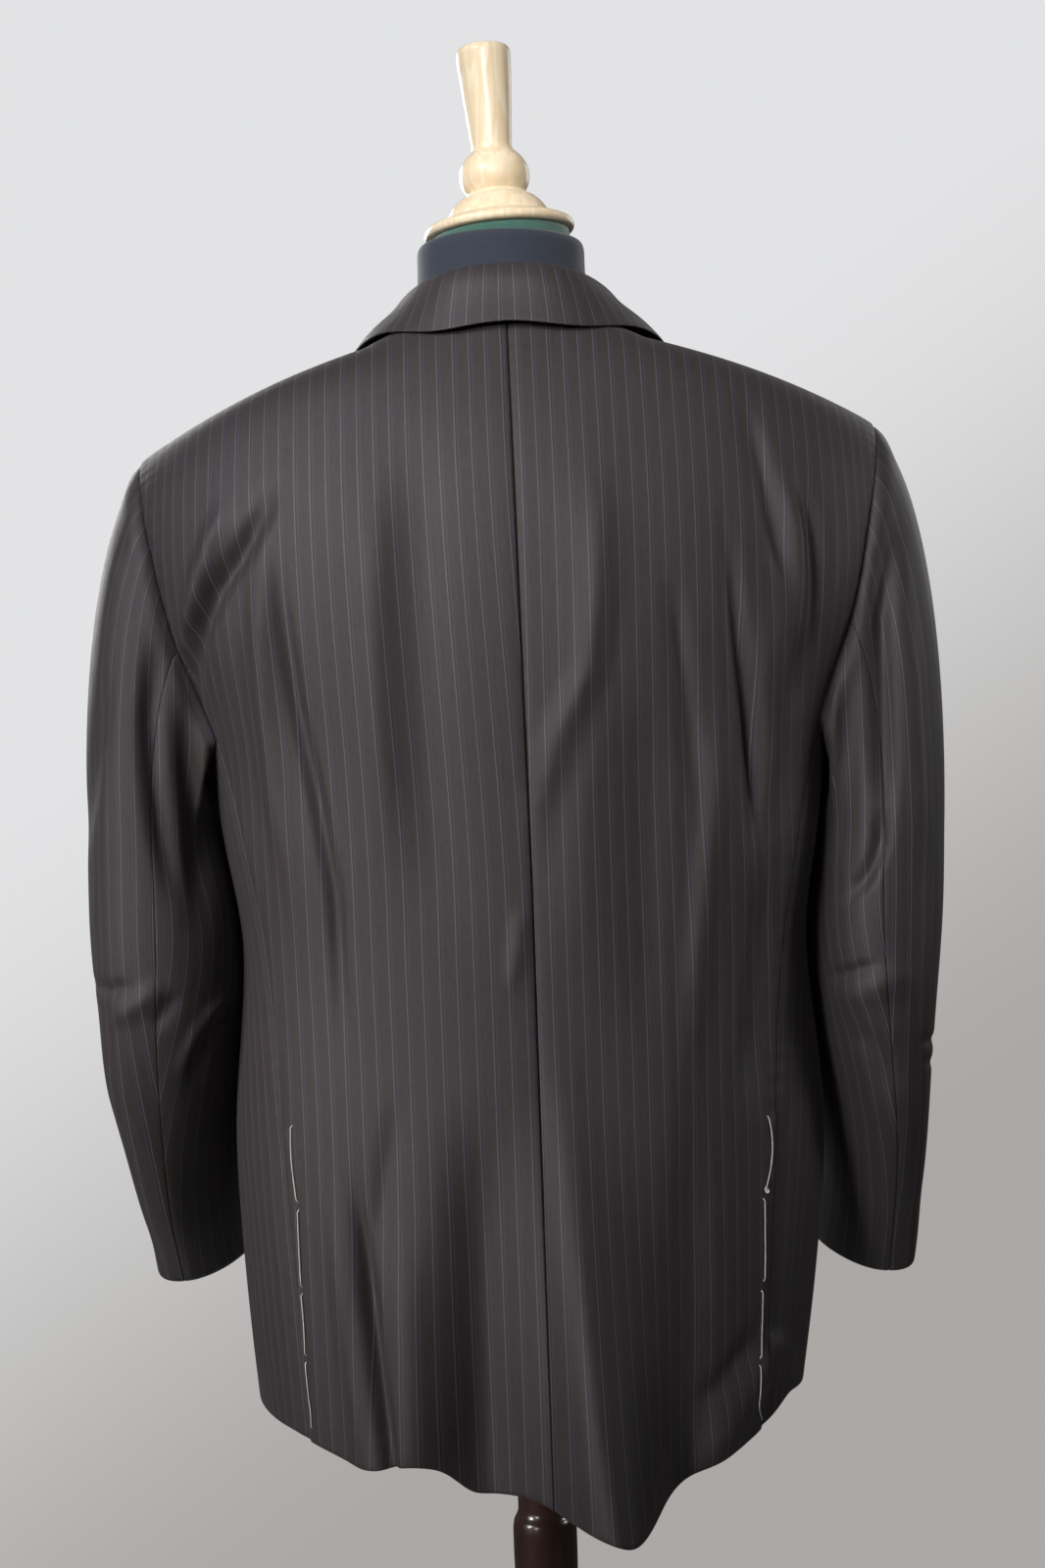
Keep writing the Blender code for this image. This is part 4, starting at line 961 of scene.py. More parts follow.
def sleeveGrid(arm, share, armhole):
    # the sleeve at shares round it: a head that leaves the armhole outwards and turns
    # down into the bicep ring on a cubic, then an arm lofted through the rings
    edge, bodyNormal, inward = (roundRing(item, armhole[3], share) for item in armhole[:3])
    top = 0.5 + 0.5 * np.cos(2 * math.pi * share)
    low = (1.0 - top) ** 2
    out = unit(np.stack([0.25 + 0.24 * top, 0.22 * np.sin(2 * math.pi * share),
                         -0.90 * (1 - top) - 0.72 * top], axis=1))
    hole = edge + out * sleeveCut["gap"]
    rings = [sleeveRing(row, arm, share) for row in sleeveCut["rings"]]
    bicep = rings[0]
    down = unit(rings[1] - bicep)
    reach = np.linalg.norm(bicep - hole, axis=1, keepdims=True)
    border = np.array([0.0, 0.004, 0.009, 0.016, 0.026, 0.040])
    t = np.concatenate([border, np.linspace(0.055, 1.0, sleeveCut["headRows"])])[:, None, None]
    clear = (2 * jacketCut["wall"] + 0.0030) * low[None, :, None] * smoothStep(t / 0.05)
    hole = hole + clear * np.array([1.0, 0.0, 0.0])
    head = ((2 * t ** 3 - 3 * t ** 2 + 1) * hole + (t ** 3 - 2 * t ** 2 + t) * out * reach * 0.75
            + (-2 * t ** 3 + 3 * t ** 2) * bicep + (t ** 3 - t ** 2) * down * reach)
    wholes = [sleeveRing(row, arm, np.linspace(0.0, 1.0, 240, endpoint=False)).mean(axis=0)
              for row in sleeveCut["rings"]]
    knots = lengthAlong(np.array([2 * wholes[0] - wholes[1]] + wholes))
    wanted = np.linspace(knots[1], knots[-1], sleeveCut["armRows"])
    wanted = np.concatenate([wanted[:-1], knots[-1] - np.array([0.0020, 0.0011, 0.0005, 0.0])])
    lead = 2 * rings[0] - rings[1]
    armGrid = np.tensordot(splineWeights(knots, wanted), np.stack([lead] + rings), axes=1)
    # cloth coordinates: across from the outermost thread, along from the cuff up
    outermost = round(float(share.mean()))
    tangent = unit(np.gradient(bicep, share, axis=0))
    across = lengthAlong(bicep)
    across -= np.interp(outermost, share, across)
    uHead = across + np.sum((head[:-1] - bicep) * tangent, axis=-1)
    uArm = lengthAlong(armGrid)
    uArm -= np.array([np.interp(outermost, share, row) for row in uArm])[:, None]
    grid = np.concatenate([head[:-1], armGrid])
    rise = np.linalg.norm(np.diff(grid, axis=0), axis=-1)
    v = np.concatenate([np.zeros((1, grid.shape[1])), -np.cumsum(rise, axis=0)])
    uv = np.stack([np.concatenate([uHead, uArm]), v], axis=-1)
    # seam allowance of the head, turned in under the armhole's edge
    low = low[:, None]
    under = edge - bodyNormal * sleeveCut["allowanceDepth"]
    tucks = np.stack([under + inward * 0.0050, under + inward * 0.0018,
                      edge - inward * (0.0003 + 0.0015 * low)
                      - bodyNormal * (0.0026 - 0.0014 * low)])
    return grid, uv, np.array(wholes), tucks


def sleevePart(arm, part, armhole):
    # the top or the under half of a sleeve, from seam to seam
    mirror, under = arm == "right", part == "Under"
    hind, fore = armhole[4:]
    begin, end = (hind, fore) if under else (fore - 1.0, hind)
    columns, width = sleeveCut["parts"][part]
    shares = closeShares(width, columns, under, under)
    span = panelCut["seamGap"] / sleeveCut["girth"]
    share = begin + span + (end - begin - 2 * span) * shares
    grid, uv, wholes, tucks = sleeveGrid(arm, share, armhole)
    spine = wholes[::-1]
    centre = [np.interp(grid[..., 2], spine[:, 2], spine[:, k]) for k in range(2)]
    outward = np.stack([grid[..., 0] - centre[0], grid[..., 1] - centre[1],
                        np.full(grid.shape[:2], 0.01)], axis=-1)
    normal = acrossGrid(grid)
    normal *= np.sign(np.sum(normal * outward))
    points, facing = mirrored(grid, mirror), mirrored(normal, mirror)
    fromHole, fromCuff = np.abs(uv[..., 1]), uv[..., 1] - uv[-1:, :, 1]
    sideways = shares[None, :] * width
    seam = seamUnder if under else seamValley
    depth = sleeveCut["seamDepth"]
    seams = seam(sideways, depth) + seam(width - sideways, depth)
    behind = smoothStep(facing[..., 1] * 1.8 + 0.42)
    before = smoothStep(-facing[..., 1] * 1.8 + 0.10)
    creases = creaseShift(points, sleeveCreases[arm])
    extra = seams + creases * behind + 0.7 * creases * before * (1.0 - behind)
    ripple = 0.5 + 0.5 * np.sin(share * 2 * math.pi * 21.0 + 1.2 * np.sin(share * 31.0))[None, :]
    ease = sleeveCut["headFullness"] * bell((fromHole - sleeveCut["headPlace"]) / 0.011)
    extra = extra + ease * (0.75 + 0.25 * ripple) + seamValley(fromHole) * 1.1
    wave = gentleWave(points, (1.4, 1.4, 0.8), 0.12)
    extra = extra + sleeveCut["waveHeight"] * wave * smoothStep(fromHole / 0.05)
    extra = extra + hemTurn(fromCuff)
    points = points + facing * (jacketCut["wall"] + extra)[..., None]
    tucks = mirrored(tucks, mirror) + facing[:1] * np.minimum(seams, 0.0)[..., None] * 0.5
    points = settle(np.concatenate([tucks, points]))
    facing = np.concatenate([np.repeat(facing[:1], 3, axis=0), facing])
    uv = np.concatenate([uv[:1] + np.array([0.0, 0.003 * k]) for k in (3, 2, 1)] + [uv])
    uv = uv * np.array([-1.0 if mirror else 1.0, 1.0])
    sheetPiece("sleeve" + part + arm.title(), points, facing, uv,
               "sleeve_" + part.lower() + "_" + arm, (width + 0.03, sleeveCut["length"]))


# Collar

# What a user would change about the collar. Stations from the centre back to the
# front end: seam, top of the fold, middle of the fall, outer edge
collarCut = {
    "stations": (
        ((0.0000, 0.0610, 1.4340), (0.0000, 0.0650, 1.4632),
         (0.0000, 0.0760, 1.4421), (0.0000, 0.0815, 1.4210)),
        ((0.0450, 0.0520, 1.4330), (0.0430, 0.0550, 1.4605),
         (0.0515, 0.0665, 1.4385), (0.0560, 0.0725, 1.4165)),
        ((0.0800, 0.0060, 1.4275), (0.0745, 0.0060, 1.4500),
         (0.0940, 0.0092, 1.4352), (0.1080, 0.0120, 1.4195)),
        ((0.0835, -0.0380, 1.4070), (0.0820, -0.0410, 1.4210), (0.1040, -0.0480, 1.4080),
         (0.1240, -0.0470, 1.3920)),
        ((0.0640, -0.0860, 1.3680), (0.0655, -0.0960, 1.3690), (0.1030, -0.1070, 1.3425),
         (0.1300, -0.0890, 1.3540)),
    ),
    "loop": 0.0030,
    "clearance": 0.0040,       # from the panels' inner face up to the fall
    "thickness": 0.0017,
    "flat": (0.480, 0.080),
    "columns": 301,
    "rows": 64,
}


def liftedOff(points, clearance):
    # points too near the hanging panels are moved out along the nearest normal
    places, facings = [], []
    for kind in ("back", "front"):
        (grid, _), normals = masters[kind]
        half = len(grid) // 2
        for mirror in (False, True):
            facing = mirrored(normals[half::2, ::2], mirror)
            places.append(hang(mirrored(grid[half::2, ::2], mirror), facing).reshape(-1, 3))
            facings.append(facing.reshape(-1, 3))
    places, facings = np.concatenate(places), np.concatenate(facings)
    flat = points.reshape(-1, 3)
    squares = (flat ** 2).sum(1)[:, None] + (places ** 2).sum(1)[None, :]
    nearest = (squares - 2.0 * flat @ places.T).argmin(axis=1)
    height = np.sum((flat - places[nearest]) * facings[nearest], axis=1)
    moved = flat + facings[nearest] * np.maximum(0.0, clearance - height)[:, None]
    return moved.reshape(points.shape)


def collarPiece():
    # folded band: seam, up the stand, round the fold, down the fall; a spline through
    # five stations a half along it, and through seven rows across it
    knots = [np.array([row[k] for row in collarCut["stations"]]) for k in range(4)]
    stations = np.linspace(0.0, 1.0, len(collarCut["stations"]))
    between = np.linspace(-1.0, 1.0, 17)
    coarse = splineWeights(np.concatenate([-stations[1:][::-1], stations]), between)
    fine = splineWeights(between, np.linspace(-1.0, 1.0, collarCut["columns"]))
    both = [np.concatenate([p[1:][::-1] * np.array([-1.0, 1.0, 1.0]), p]) for p in knots]
    seam, fold, middle, edge = (coarse @ p for p in both)
    outside = unit((edge - seam) * np.array([1.0, 1.0, 0.0]))
    loop = collarCut["loop"]
    belowFold = fold - np.array([0.0, 0.0, 1.0]) * 0.004
    rows = np.stack([seam, (seam + fold) / 2, belowFold - outside * loop * 0.2,
                     fold + outside * loop * 0.6, belowFold + outside * loop * 2.2,
                     middle, edge])
    rows[..., 0] += jacketCut["neckDrift"]
    rows = settle(rows)
    rows[5:] = liftedOff(rows[5:], collarCut["clearance"])
    rows = np.einsum("fc,rcx->rfx", fine, rows)
    step = np.linalg.norm(np.diff(rows, axis=0), axis=-1).mean(axis=1)
    down = np.concatenate([[0.0], np.cumsum(step)])
    border = np.array([0.0, 0.0005, 0.0012, 0.0022])
    wanted = np.concatenate([np.linspace(0.0, down[-1] - 0.003, collarCut["rows"]),
                             down[-1] - border[::-1]])
    grid = np.einsum("wr,rfx->wfx", splineWeights(down, wanted), rows)
    centre = grid.shape[1] // 2
    normal = acrossGrid(grid)
    normal *= np.sign(normal[int(np.argmax(grid[:, centre, 2])), centre, 2])
    fromEdge = (down[-1] - wanted)[:, None]
    lift = 0.0014 - 0.0006 * np.exp(-fromEdge / 0.0009)
    wave = gentleWave(grid, (1.0, 1.0, 1.0), 0.05)
    lift = lift + 0.0004 * wave * smoothStep(fromEdge / 0.02)
    along = lengthAlong(grid[-20])
    along -= along[centre]
    uv = np.stack(np.broadcast_arrays(along[None, :], -wanted[:, None]), axis=-1)
    sheetPiece("jacketCollar", grid + normal * lift[..., None], normal, uv, "collar",
               collarCut["flat"], collarCut["thickness"])


# Buttons

# What a user would change about the buttons
buttonCut = {
    "radius": 0.0105,
    "thickness": 0.0042,
    "heights": (0.985, 0.880),
    "wellRadius": 0.0011,
    "wellPlace": 0.0023,
    "wellDepth": 0.0018,
    "threadRadius": 0.00034,
}


def buttonDisc():
    # a dished disc in polar coordinates, with four wells, its back on z = 0
    radius, thick, columns = buttonCut["radius"], buttonCut["thickness"], 96
    r = np.concatenate([np.linspace(0.0, 0.55, 36), np.linspace(0.57, 0.95, 22),
                        np.linspace(0.96, 1.0, 6)])
    turn = around(columns)
    rr, tt = np.meshgrid(r, turn, indexing="ij")
    dish, rim = smoothStep((rr - 0.52) / 0.16), smoothStep((rr - 0.84) / 0.16)
    top = thick * (0.62 + 0.30 * dish - 0.28 * rim ** 2)
    for k in range(4):
        angle = math.pi / 4 + k * math.pi / 2
        wellX = buttonCut["wellPlace"] * math.cos(angle) / radius
        wellY = buttonCut["wellPlace"] * math.sin(angle) / radius
        gap = np.hypot(rr * np.cos(tt) - wellX, rr * np.sin(tt) - wellY) * radius
        inWell = smoothStep((buttonCut["wellRadius"] - gap) / 0.0005 + 0.5)
        top = top - buttonCut["wellDepth"] * inWell
    side = np.array([(1.0, 0.50), (0.97, 0.25), (0.86, 0.06), (0.5, 0.02), (0.0, 0.0)])
    reach, height = np.repeat(side[:, :1], columns, 1), np.repeat(side[:, 1:], columns, 1)
    under = np.stack([reach * np.cos(turn), reach * np.sin(turn), height * thick / radius], axis=-1)
    face = np.stack([rr * np.cos(tt), rr * np.sin(tt), top / radius], axis=-1)
    return np.concatenate([face, under]) * radius


def buttonPieces(points, facing):
    # buttons on the front's edge, each sewn with two crossed threads
    disc, thick = buttonDisc(), buttonCut["thickness"]
    for number, height in enumerate(buttonCut["heights"], start=1):
        away = np.abs(points[..., 0]) * 3.0 + np.abs(points[..., 2] - height)
        spot = np.unravel_index(away.argmin(), away.shape)
        axis = unit(facing[spot])
        sideways = unit(np.cross([0.0, 0.0, 1.0], axis))
        frameAxes = np.stack([sideways, np.cross(axis, sideways), axis])
        seat = points[spot] + axis * 0.0006
        placed = disc @ frameAxes + seat
        piece = turnedMesh("frontButton%d" % number, placed, placed - seat - axis * 0.001)
        solidPiece(piece, "button_%d" % number, "horn")
        for k in range(2):
            angle = math.pi / 4 + k * math.pi / 2
            t = np.linspace(-1.0, 1.0, 25)[:, None]
            way = np.array([math.cos(angle), math.sin(angle), 0.0]) * buttonCut["wellPlace"]
            rise = thick * 0.60 + 0.0006 - 0.0016 * t ** 6 + 0.0003 * k
            line = t * way + np.array([0.0, 0.0, 1.0]) * rise
            tube("buttonThread%d%s" % (number, "ab"[k]), line @ frameAxes + seat,
                 buttonCut["threadRadius"], "darkThread")


# Materials

class Field:
    # the output of a shader node, which reckons with numbers and with other outputs
    def __init__(self, socket):
        self.socket = socket
        self.tree = socket.id_data

    def maths(self, operation, *others):
        return reckoned(self.tree, operation, self, *others)

    def __add__(self, other):
        return self.maths("ADD", other)

    def __mul__(self, other):
        return self.maths("MULTIPLY", other)

    def __sub__(self, other):
        return self.maths("SUBTRACT", other)

    def __rsub__(self, other):
        return reckoned(self.tree, "SUBTRACT", other, self)

    def __truediv__(self, other):
        return self.maths("DIVIDE", other)

    def __pow__(self, other):
        return self.maths("POWER", other)

    def __abs__(self):
        return self.maths("ABSOLUTE")


def feed(socket, value):
    if isinstance(value, Field):
        value.tree.links.new(value.socket, socket)
    else:
        socket.default_value = value


def reckoned(tree, operation, *values):
    node = tree.nodes.new("ShaderNodeMath")
    node.operation = operation
    for socket, value in zip(node.inputs, values):
        feed(socket, value)
    return Field(node.outputs[0])


def ramped(value, low, high, toLow=0.0, toHigh=1.0):
    # smooth change from toLow to toHigh while value goes from low to high
    node = value.tree.nodes.new("ShaderNodeMapRange")
    node.interpolation_type = "SMOOTHSTEP"
    for socket, item in zip(node.inputs[:5], (value, low, high, toLow, toHigh)):
        feed(socket, item)
    return Field(node.outputs["Result"])


def blended(tree, share, first, second, mode="MIX"):
    node = tree.nodes.new("ShaderNodeMix")
    node.data_type = "RGBA"
    node.blend_type = mode
    for label, item in (("Factor", share), ("A", first), ("B", second)):
        feed(node.inputs[label], item)
    return Field(node.outputs["Result"])


def grain(vector, scale, stretch=(1.0, 1.0, 1.0), detail=2.0, roughness=0.5):
    # noise of a stretched place
    mapping = vector.tree.nodes.new("ShaderNodeMapping")
    node = vector.tree.nodes.new("ShaderNodeTexNoise")
    feed(mapping.inputs["Scale"], stretch)
    feed(mapping.inputs["Vector"], vector)
    for label, item in (("Vector", Field(mapping.outputs["Vector"])), ("Scale", scale),
                        ("Detail", detail), ("Roughness", roughness)):
        feed(node.inputs[label], item)
    return Field(node.outputs["Fac"])


def place(tree, kind="Object"):
    return Field(tree.nodes.new("ShaderNodeTexCoord").outputs[kind])


def parted(vector):
    # the three numbers of a vector
    node = vector.tree.nodes.new("ShaderNodeSeparateXYZ")
    feed(node.inputs[0], vector)
    return [Field(socket) for socket in node.outputs]


def nodeGroup(name, vectors, values):
    # an empty shader group with named sockets, which puts out a colour, a roughness
    # and a height
    group = bpy.data.node_groups.new(name, "ShaderNodeTree")
    for label in vectors:
        group.interface.new_socket(label, in_out="INPUT", socket_type="NodeSocketVector")
    for label, value in values.items():
        kind = "NodeSocketColor" if isinstance(value, tuple) else "NodeSocketFloat"
        group.interface.new_socket(label, in_out="INPUT", socket_type=kind).default_value = value
    for label, kind in (("Color", "Color"), ("Roughness", "Float"), ("Height", "Float")):
        group.interface.new_socket(label, in_out="OUTPUT", socket_type="NodeSocket" + kind)
    given = group.nodes.new("NodeGroupInput").outputs
    given = {label: Field(given[label]) for label in (*vectors, *values)}
    return group, given, group.nodes.new("NodeGroupOutput").inputs


# What a user would change about the cloth
woolCloth = {
    "Pitch": 0.0109,
    "Stripe Width": 0.00095,
    "Ground": (0.0345, 0.0272, 0.0270, 1.0),
    "Stripe": (0.085, 0.075, 0.086, 1.0),
    "Shadow": (0.0165, 0.0145, 0.0170, 1.0),
    "Band": (0.0345, 0.0368, 0.0500, 1.0),
    "Mottle": 0.20,
}
# What a user would change about the woods
beechWood = {
    "Light": (0.90, 0.77, 0.56, 1.0),
    "Dark": (0.76, 0.585, 0.36, 1.0),
    "Ring Scale": 55.0,
    "Contrast": 1.0,
}
mahoganyWood = {
    "Light": (0.060, 0.026, 0.020, 1.0),
    "Dark": (0.026, 0.0120, 0.0095, 1.0),
    "Ring Scale": 34.0,
    "Contrast": 0.9,
}


def pinstripeGroup():
    # striped wool cloth on coordinates in metres, across and along its threads
    group, given, out = nodeGroup("pinstripeCloth", ("Cloth", "Place"), woolCloth)
    cloth, pitch, width = (given[label] for label in ("Cloth", "Pitch", "Stripe Width"))
    u, v, _ = parted(cloth)
    wander = (grain(cloth, 9.0, (1.0, 0.6, 1.0)) - 0.5) * 0.0012
    off = (((u + wander) / pitch).maths("FRACT") - 0.5) * pitch
    half = width * 0.5

    def lineAt(shift, near, far):
        # 1 on a line that lies shift stripe widths beside the stripe, fading to 0
        # between near and far half widths from its middle
        gap = abs(off + width * shift) if shift else abs(off)
        return 1.0 - ramped(gap, half * near, half * far)

    # single yarns lift and sink along the stripe
    dash = ramped(grain(cloth, 1.0, (500.0, 900.0, 1.0), 1.0), 0.30, 0.62, 0.62, 1.0)
    line = lineAt(0.0, 0.45, 1.35) * dash
    # beside every stripe a thin dark gap, then a blue band
    shadow = lineAt(0.95, 0.2, 1.0)
    band = lineAt(2.2, 0.9, 2.3)
    yarn = grain(cloth, 1.0, (1500.0, 130.0, 1.0), 3.0, 0.6)
    slub = grain(cloth, 1.0, (420.0, 34.0, 1.0), 2.0)
    cloud = grain(given["Place"], 7.0, (1.0, 1.0, 0.7), 3.0)
    speck = (yarn * 0.6 + slub * 0.4 - 0.5) * (given["Mottle"] * 8.0) + (cloud - 0.5) * 0.30
    colour = blended(group, 1.0, given["Ground"], speck + 1.0, "MULTIPLY")
    for share, label in ((band * 0.9, "Band"), (shadow * 0.6, "Shadow"), (line * 0.9, "Stripe")):
        colour = blended(group, share, colour, given[label])
    feed(out["Color"], colour)
    feed(out["Roughness"], (slub - 0.5) * 0.22 + 0.60 - line * 0.08)
    # twill: fine diagonal ribs under the yarns
    rib = ((u + v * 0.8) * 6500.0).maths("SINE")
    feed(out["Height"], rib * 0.16 + yarn * 0.55 + line * 0.5)
    return group


def woodGroup():
    # grain along the height: growth rings, fine fibres, pores
    group, given, out = nodeGroup("turnedWood", ("Place",), beechWood)
    bend = grain(given["Place"], given["Ring Scale"], (1.0, 1.0, 0.12), 2.0)
    rings = (bend * 7.0).maths("FRACT")
    rings = ramped(rings, 0.0, 0.75) * ramped(rings, 1.0, 0.8)
    fibre = grain(given["Place"], 1.0, (900.0, 900.0, 22.0), 3.0, 0.6)
    share = (rings * 0.55 + fibre * 0.6 - 0.15) * given["Contrast"]
    feed(out["Color"], blended(group, share, given["Light"], given["Dark"]))
    feed(out["Roughness"], fibre * 0.16 + 0.24)
    feed(out["Height"], fibre)
    return group


def newMaterial(name, constants):
    # a Principled material with constants set on the shader's own sockets
    material = bpy.data.materials.new(name)
    material.use_nodes = True
    tree = material.node_tree
    shader = tree.nodes["Principled BSDF"].inputs
    for label, value in constants.items():
        shader[label].default_value = value
    return material, tree, shader


def bumped(shader, height, strength, distance):
    bump = height.tree.nodes.new("ShaderNodeBump")
    for label, value in (("Strength", strength), ("Distance", distance), ("Height", height)):
        feed(bump.inputs[label], value)
    feed(shader["Normal"], Field(bump.outputs["Normal"]))


def groupMaterial(name, constants, group, places, values, strength, distance):
    # a material that takes its colour, roughness and bump from a shared group
    material, tree, shader = newMaterial(name, constants)
    node = tree.nodes.new("ShaderNodeGroup")
    node.node_tree = group
    for label, kind in places.items():
        feed(node.inputs[label], place(tree, kind))
    for label, value in values.items():
        node.inputs[label].default_value = value
    colour, rough, height = (Field(socket) for socket in node.outputs)
    feed(shader["Base Color"], colour)
    feed(shader["Roughness"], rough)
    bumped(shader, height, strength, distance)
    return material


def makeMaterials():
    made = {"wool": groupMaterial(
        "pinstripeWool", {"Specular IOR Level": 0.36, "Sheen Weight": 0.05,
                          "Sheen Roughness": 0.45, "Sheen Tint": (0.80, 0.78, 0.82, 1.0)},
        pinstripeGroup(), {"Cloth": "UV", "Place": "Object"}, woolCloth, 0.35, 0.0003)}
    wood = woodGroup()
    made["beech"] = groupMaterial(
        "varnishedBeech", {"Coat Weight": 0.22, "Coat Roughness": 0.22, "Coat IOR": 1.45,
                           "Specular IOR Level": 0.3},
        wood, {"Place": "Object"}, beechWood, 0.12, 0.0004)
    made["mahogany"] = groupMaterial(
        "darkMahogany", {"Coat Weight": 0.8, "Coat Roughness": 0.12, "Coat IOR": 1.5,
                         "Specular IOR Level": 0.5},
        wood, {"Place": "Object"}, mahoganyWood, 0.08, 0.0004)

    made["jersey"], tree, shader = newMaterial(
        "navyJersey", {"Roughness": 0.85, "Sheen Weight": 0.25, "Sheen Roughness": 0.5})
    spot = place(tree)
    knit = grain(spot, 1.0, (900.0, 900.0, 420.0), 2.0)
    share = knit * 0.7 + grain(spot, 14.0) * 0.3
    feed(shader["Base Color"], blended(tree, share, (0.010, 0.013, 0.022, 1.0),
                                       (0.030, 0.040, 0.062, 1.0)))
    bumped(shader, knit, 0.5, 0.0005)

    made["felt"], tree, shader = newMaterial(
        "greenFelt", {"Roughness": 0.95, "Sheen Weight": 0.4, "Sheen Roughness": 0.6})
    fluff = grain(place(tree), 700.0, (1.0, 1.0, 1.0), 3.0, 0.7)
    feed(shader["Base Color"], blended(tree, fluff, (0.012, 0.060, 0.042, 1.0),
                                       (0.055, 0.175, 0.125, 1.0)))
    bumped(shader, fluff, 0.6, 0.0007)

    made["horn"], tree, shader = newMaterial(
        "darkHorn", {"Roughness": 0.32, "Coat Weight": 0.2, "Coat Roughness": 0.2})
    streak = grain(place(tree), 1.0, (160.0, 160.0, 620.0), 4.0, 0.6)
    feed(shader["Base Color"], blended(tree, ramped(streak, 0.42, 0.66),
                                       (0.014, 0.010, 0.008, 1.0), (0.085, 0.052, 0.036, 1.0)))

    for name, dark, light in (
            ("bastingThread", (0.62, 0.58, 0.50, 1.0), (0.90, 0.88, 0.82, 1.0)),
            ("darkThread", (0.020, 0.017, 0.016, 1.0), (0.060, 0.052, 0.050, 1.0))):
        made[name], tree, shader = newMaterial(name, {"Roughness": 0.8, "Sheen Weight": 0.3})
        u, v, _ = parted(place(tree, "UV"))
        strand = (u * 12.566 + v * 5200.0).maths("SINE") * 0.5 + 0.5
        feed(shader["Base Color"], blended(tree, strand, dark, light))
        bumped(shader, strand, 0.7, 0.0003)
    return made


# Form, cap and stand

# What a user would change about the dress form: rings as height, half width, back
# depth, front depth, squareness; then its shoulders as half width, back, front
formShape = {
    "rings": (
        (0.760, 0.1620, 0.0980, 0.0950, 2.3), (0.800, 0.1680, 0.1020, 0.0980, 2.3),
        (0.870, 0.1700, 0.1010, 0.0980, 2.3), (0.960, 0.1580, 0.0920, 0.0950, 2.3),
        (1.020, 0.1540, 0.0920, 0.0980, 2.3), (1.100, 0.1640, 0.0980, 0.1100, 2.3),
        (1.200, 0.1760, 0.1020, 0.1150, 2.3), (1.280, 0.1840, 0.0960, 0.1020, 2.2),
        (1.335, 0.1880, 0.0820, 0.0820, 2.1), (1.368, 0.1860, 0.0680, 0.0680, 2.0),
    ),
    "shoulders": (
        (0.180, 0.0600, 0.0400), (0.160, 0.0540, 0.0320), (0.140, 0.0500, 0.0260),
        (0.120, 0.0480, 0.0200), (0.100, 0.0490, 0.0140), (0.086, 0.0520, 0.0200),
    ),
    "neck": (                  # height, half width, depth
        (1.4300, 0.0700, 0.0560), (1.4450, 0.0630, 0.0570), (1.4700, 0.0610, 0.0580),
    ),
    "underCloth": 0.0024,
    "neckRadius": 0.0610,
    "neckTop": 1.4925,
    "slack": 0.0010,           # the visible form is this much smaller under the cloth
}


# What a user would change about the neck cap and the stand: radius and height rows
standShape = {
    "cap": (
        (0.0000, 0.1385), (0.0155, 0.1385), (0.0190, 0.1370), (0.0200, 0.1335), (0.0194, 0.1220),
        (0.0168, 0.0900), (0.0147, 0.0655), (0.0152, 0.0622), (0.0205, 0.0575), (0.0248, 0.0505),
        (0.0260, 0.0435), (0.0246, 0.0365), (0.0212, 0.0312), (0.0216, 0.0296), (0.0290, 0.0262),
        (0.0345, 0.0200), (0.0370, 0.0150), (0.0380, 0.0128), (0.0470, 0.0100), (0.0530, 0.0075),
        (0.0550, 0.0050), (0.0545, 0.0016), (0.0520, 0.0000), (0.0000, 0.0000),
    ),
    "pole": (
        (0.0000, 0.7317), (0.0190, 0.7317), (0.0190, 0.5440), (0.0200, 0.5405), (0.0222, 0.5370),
        (0.0232, 0.5310), (0.0232, 0.5100), (0.0222, 0.4700), (0.0215, 0.4000), (0.0220, 0.3000),
        (0.0240, 0.1500), (0.0262, 0.0800), (0.0300, 0.0550), (0.0390, 0.0380), (0.0420, 0.0300),
        (0.0420, 0.0003), (0.0000, 0.0003),
    ),
    "base": (
        (0.0000, 0.0280), (0.1500, 0.0280), (0.1620, 0.0265), (0.1740, 0.0225), (0.1810, 0.0170),
        (0.1880, 0.0150), (0.1900, 0.0120), (0.1900, 0.0030), (0.1870, 0.0000), (0.0000, 0.0000),
    ),
    "capHeight": 1.4994,
    "capLean": math.radians(3.3),
    "baseThickness": 0.0280,
}


def roundedCorners(table, limit, steps=5):
    # every corner of a polyline of rows becomes a quadratic curve that starts and ends
    # at most limit away from it
    table = np.asarray(table, float)
    span = np.linalg.norm(np.diff(table, axis=0), axis=1)
    t = np.linspace(0.0, 1.0, steps)[:, None]
    rows = [table[:1]]
    for k in range(1, len(table) - 1):
        cut = min(limit, 0.46 * span[k - 1], 0.46 * span[k])
        a = table[k] + (table[k - 1] - table[k]) * cut / span[k - 1]
        b = table[k] + (table[k + 1] - table[k]) * cut / span[k]
        rows.append((1 - t) ** 2 * a + 2 * t * (1 - t) * table[k] + t ** 2 * b)
    return np.concatenate(rows + [table[-1:]])


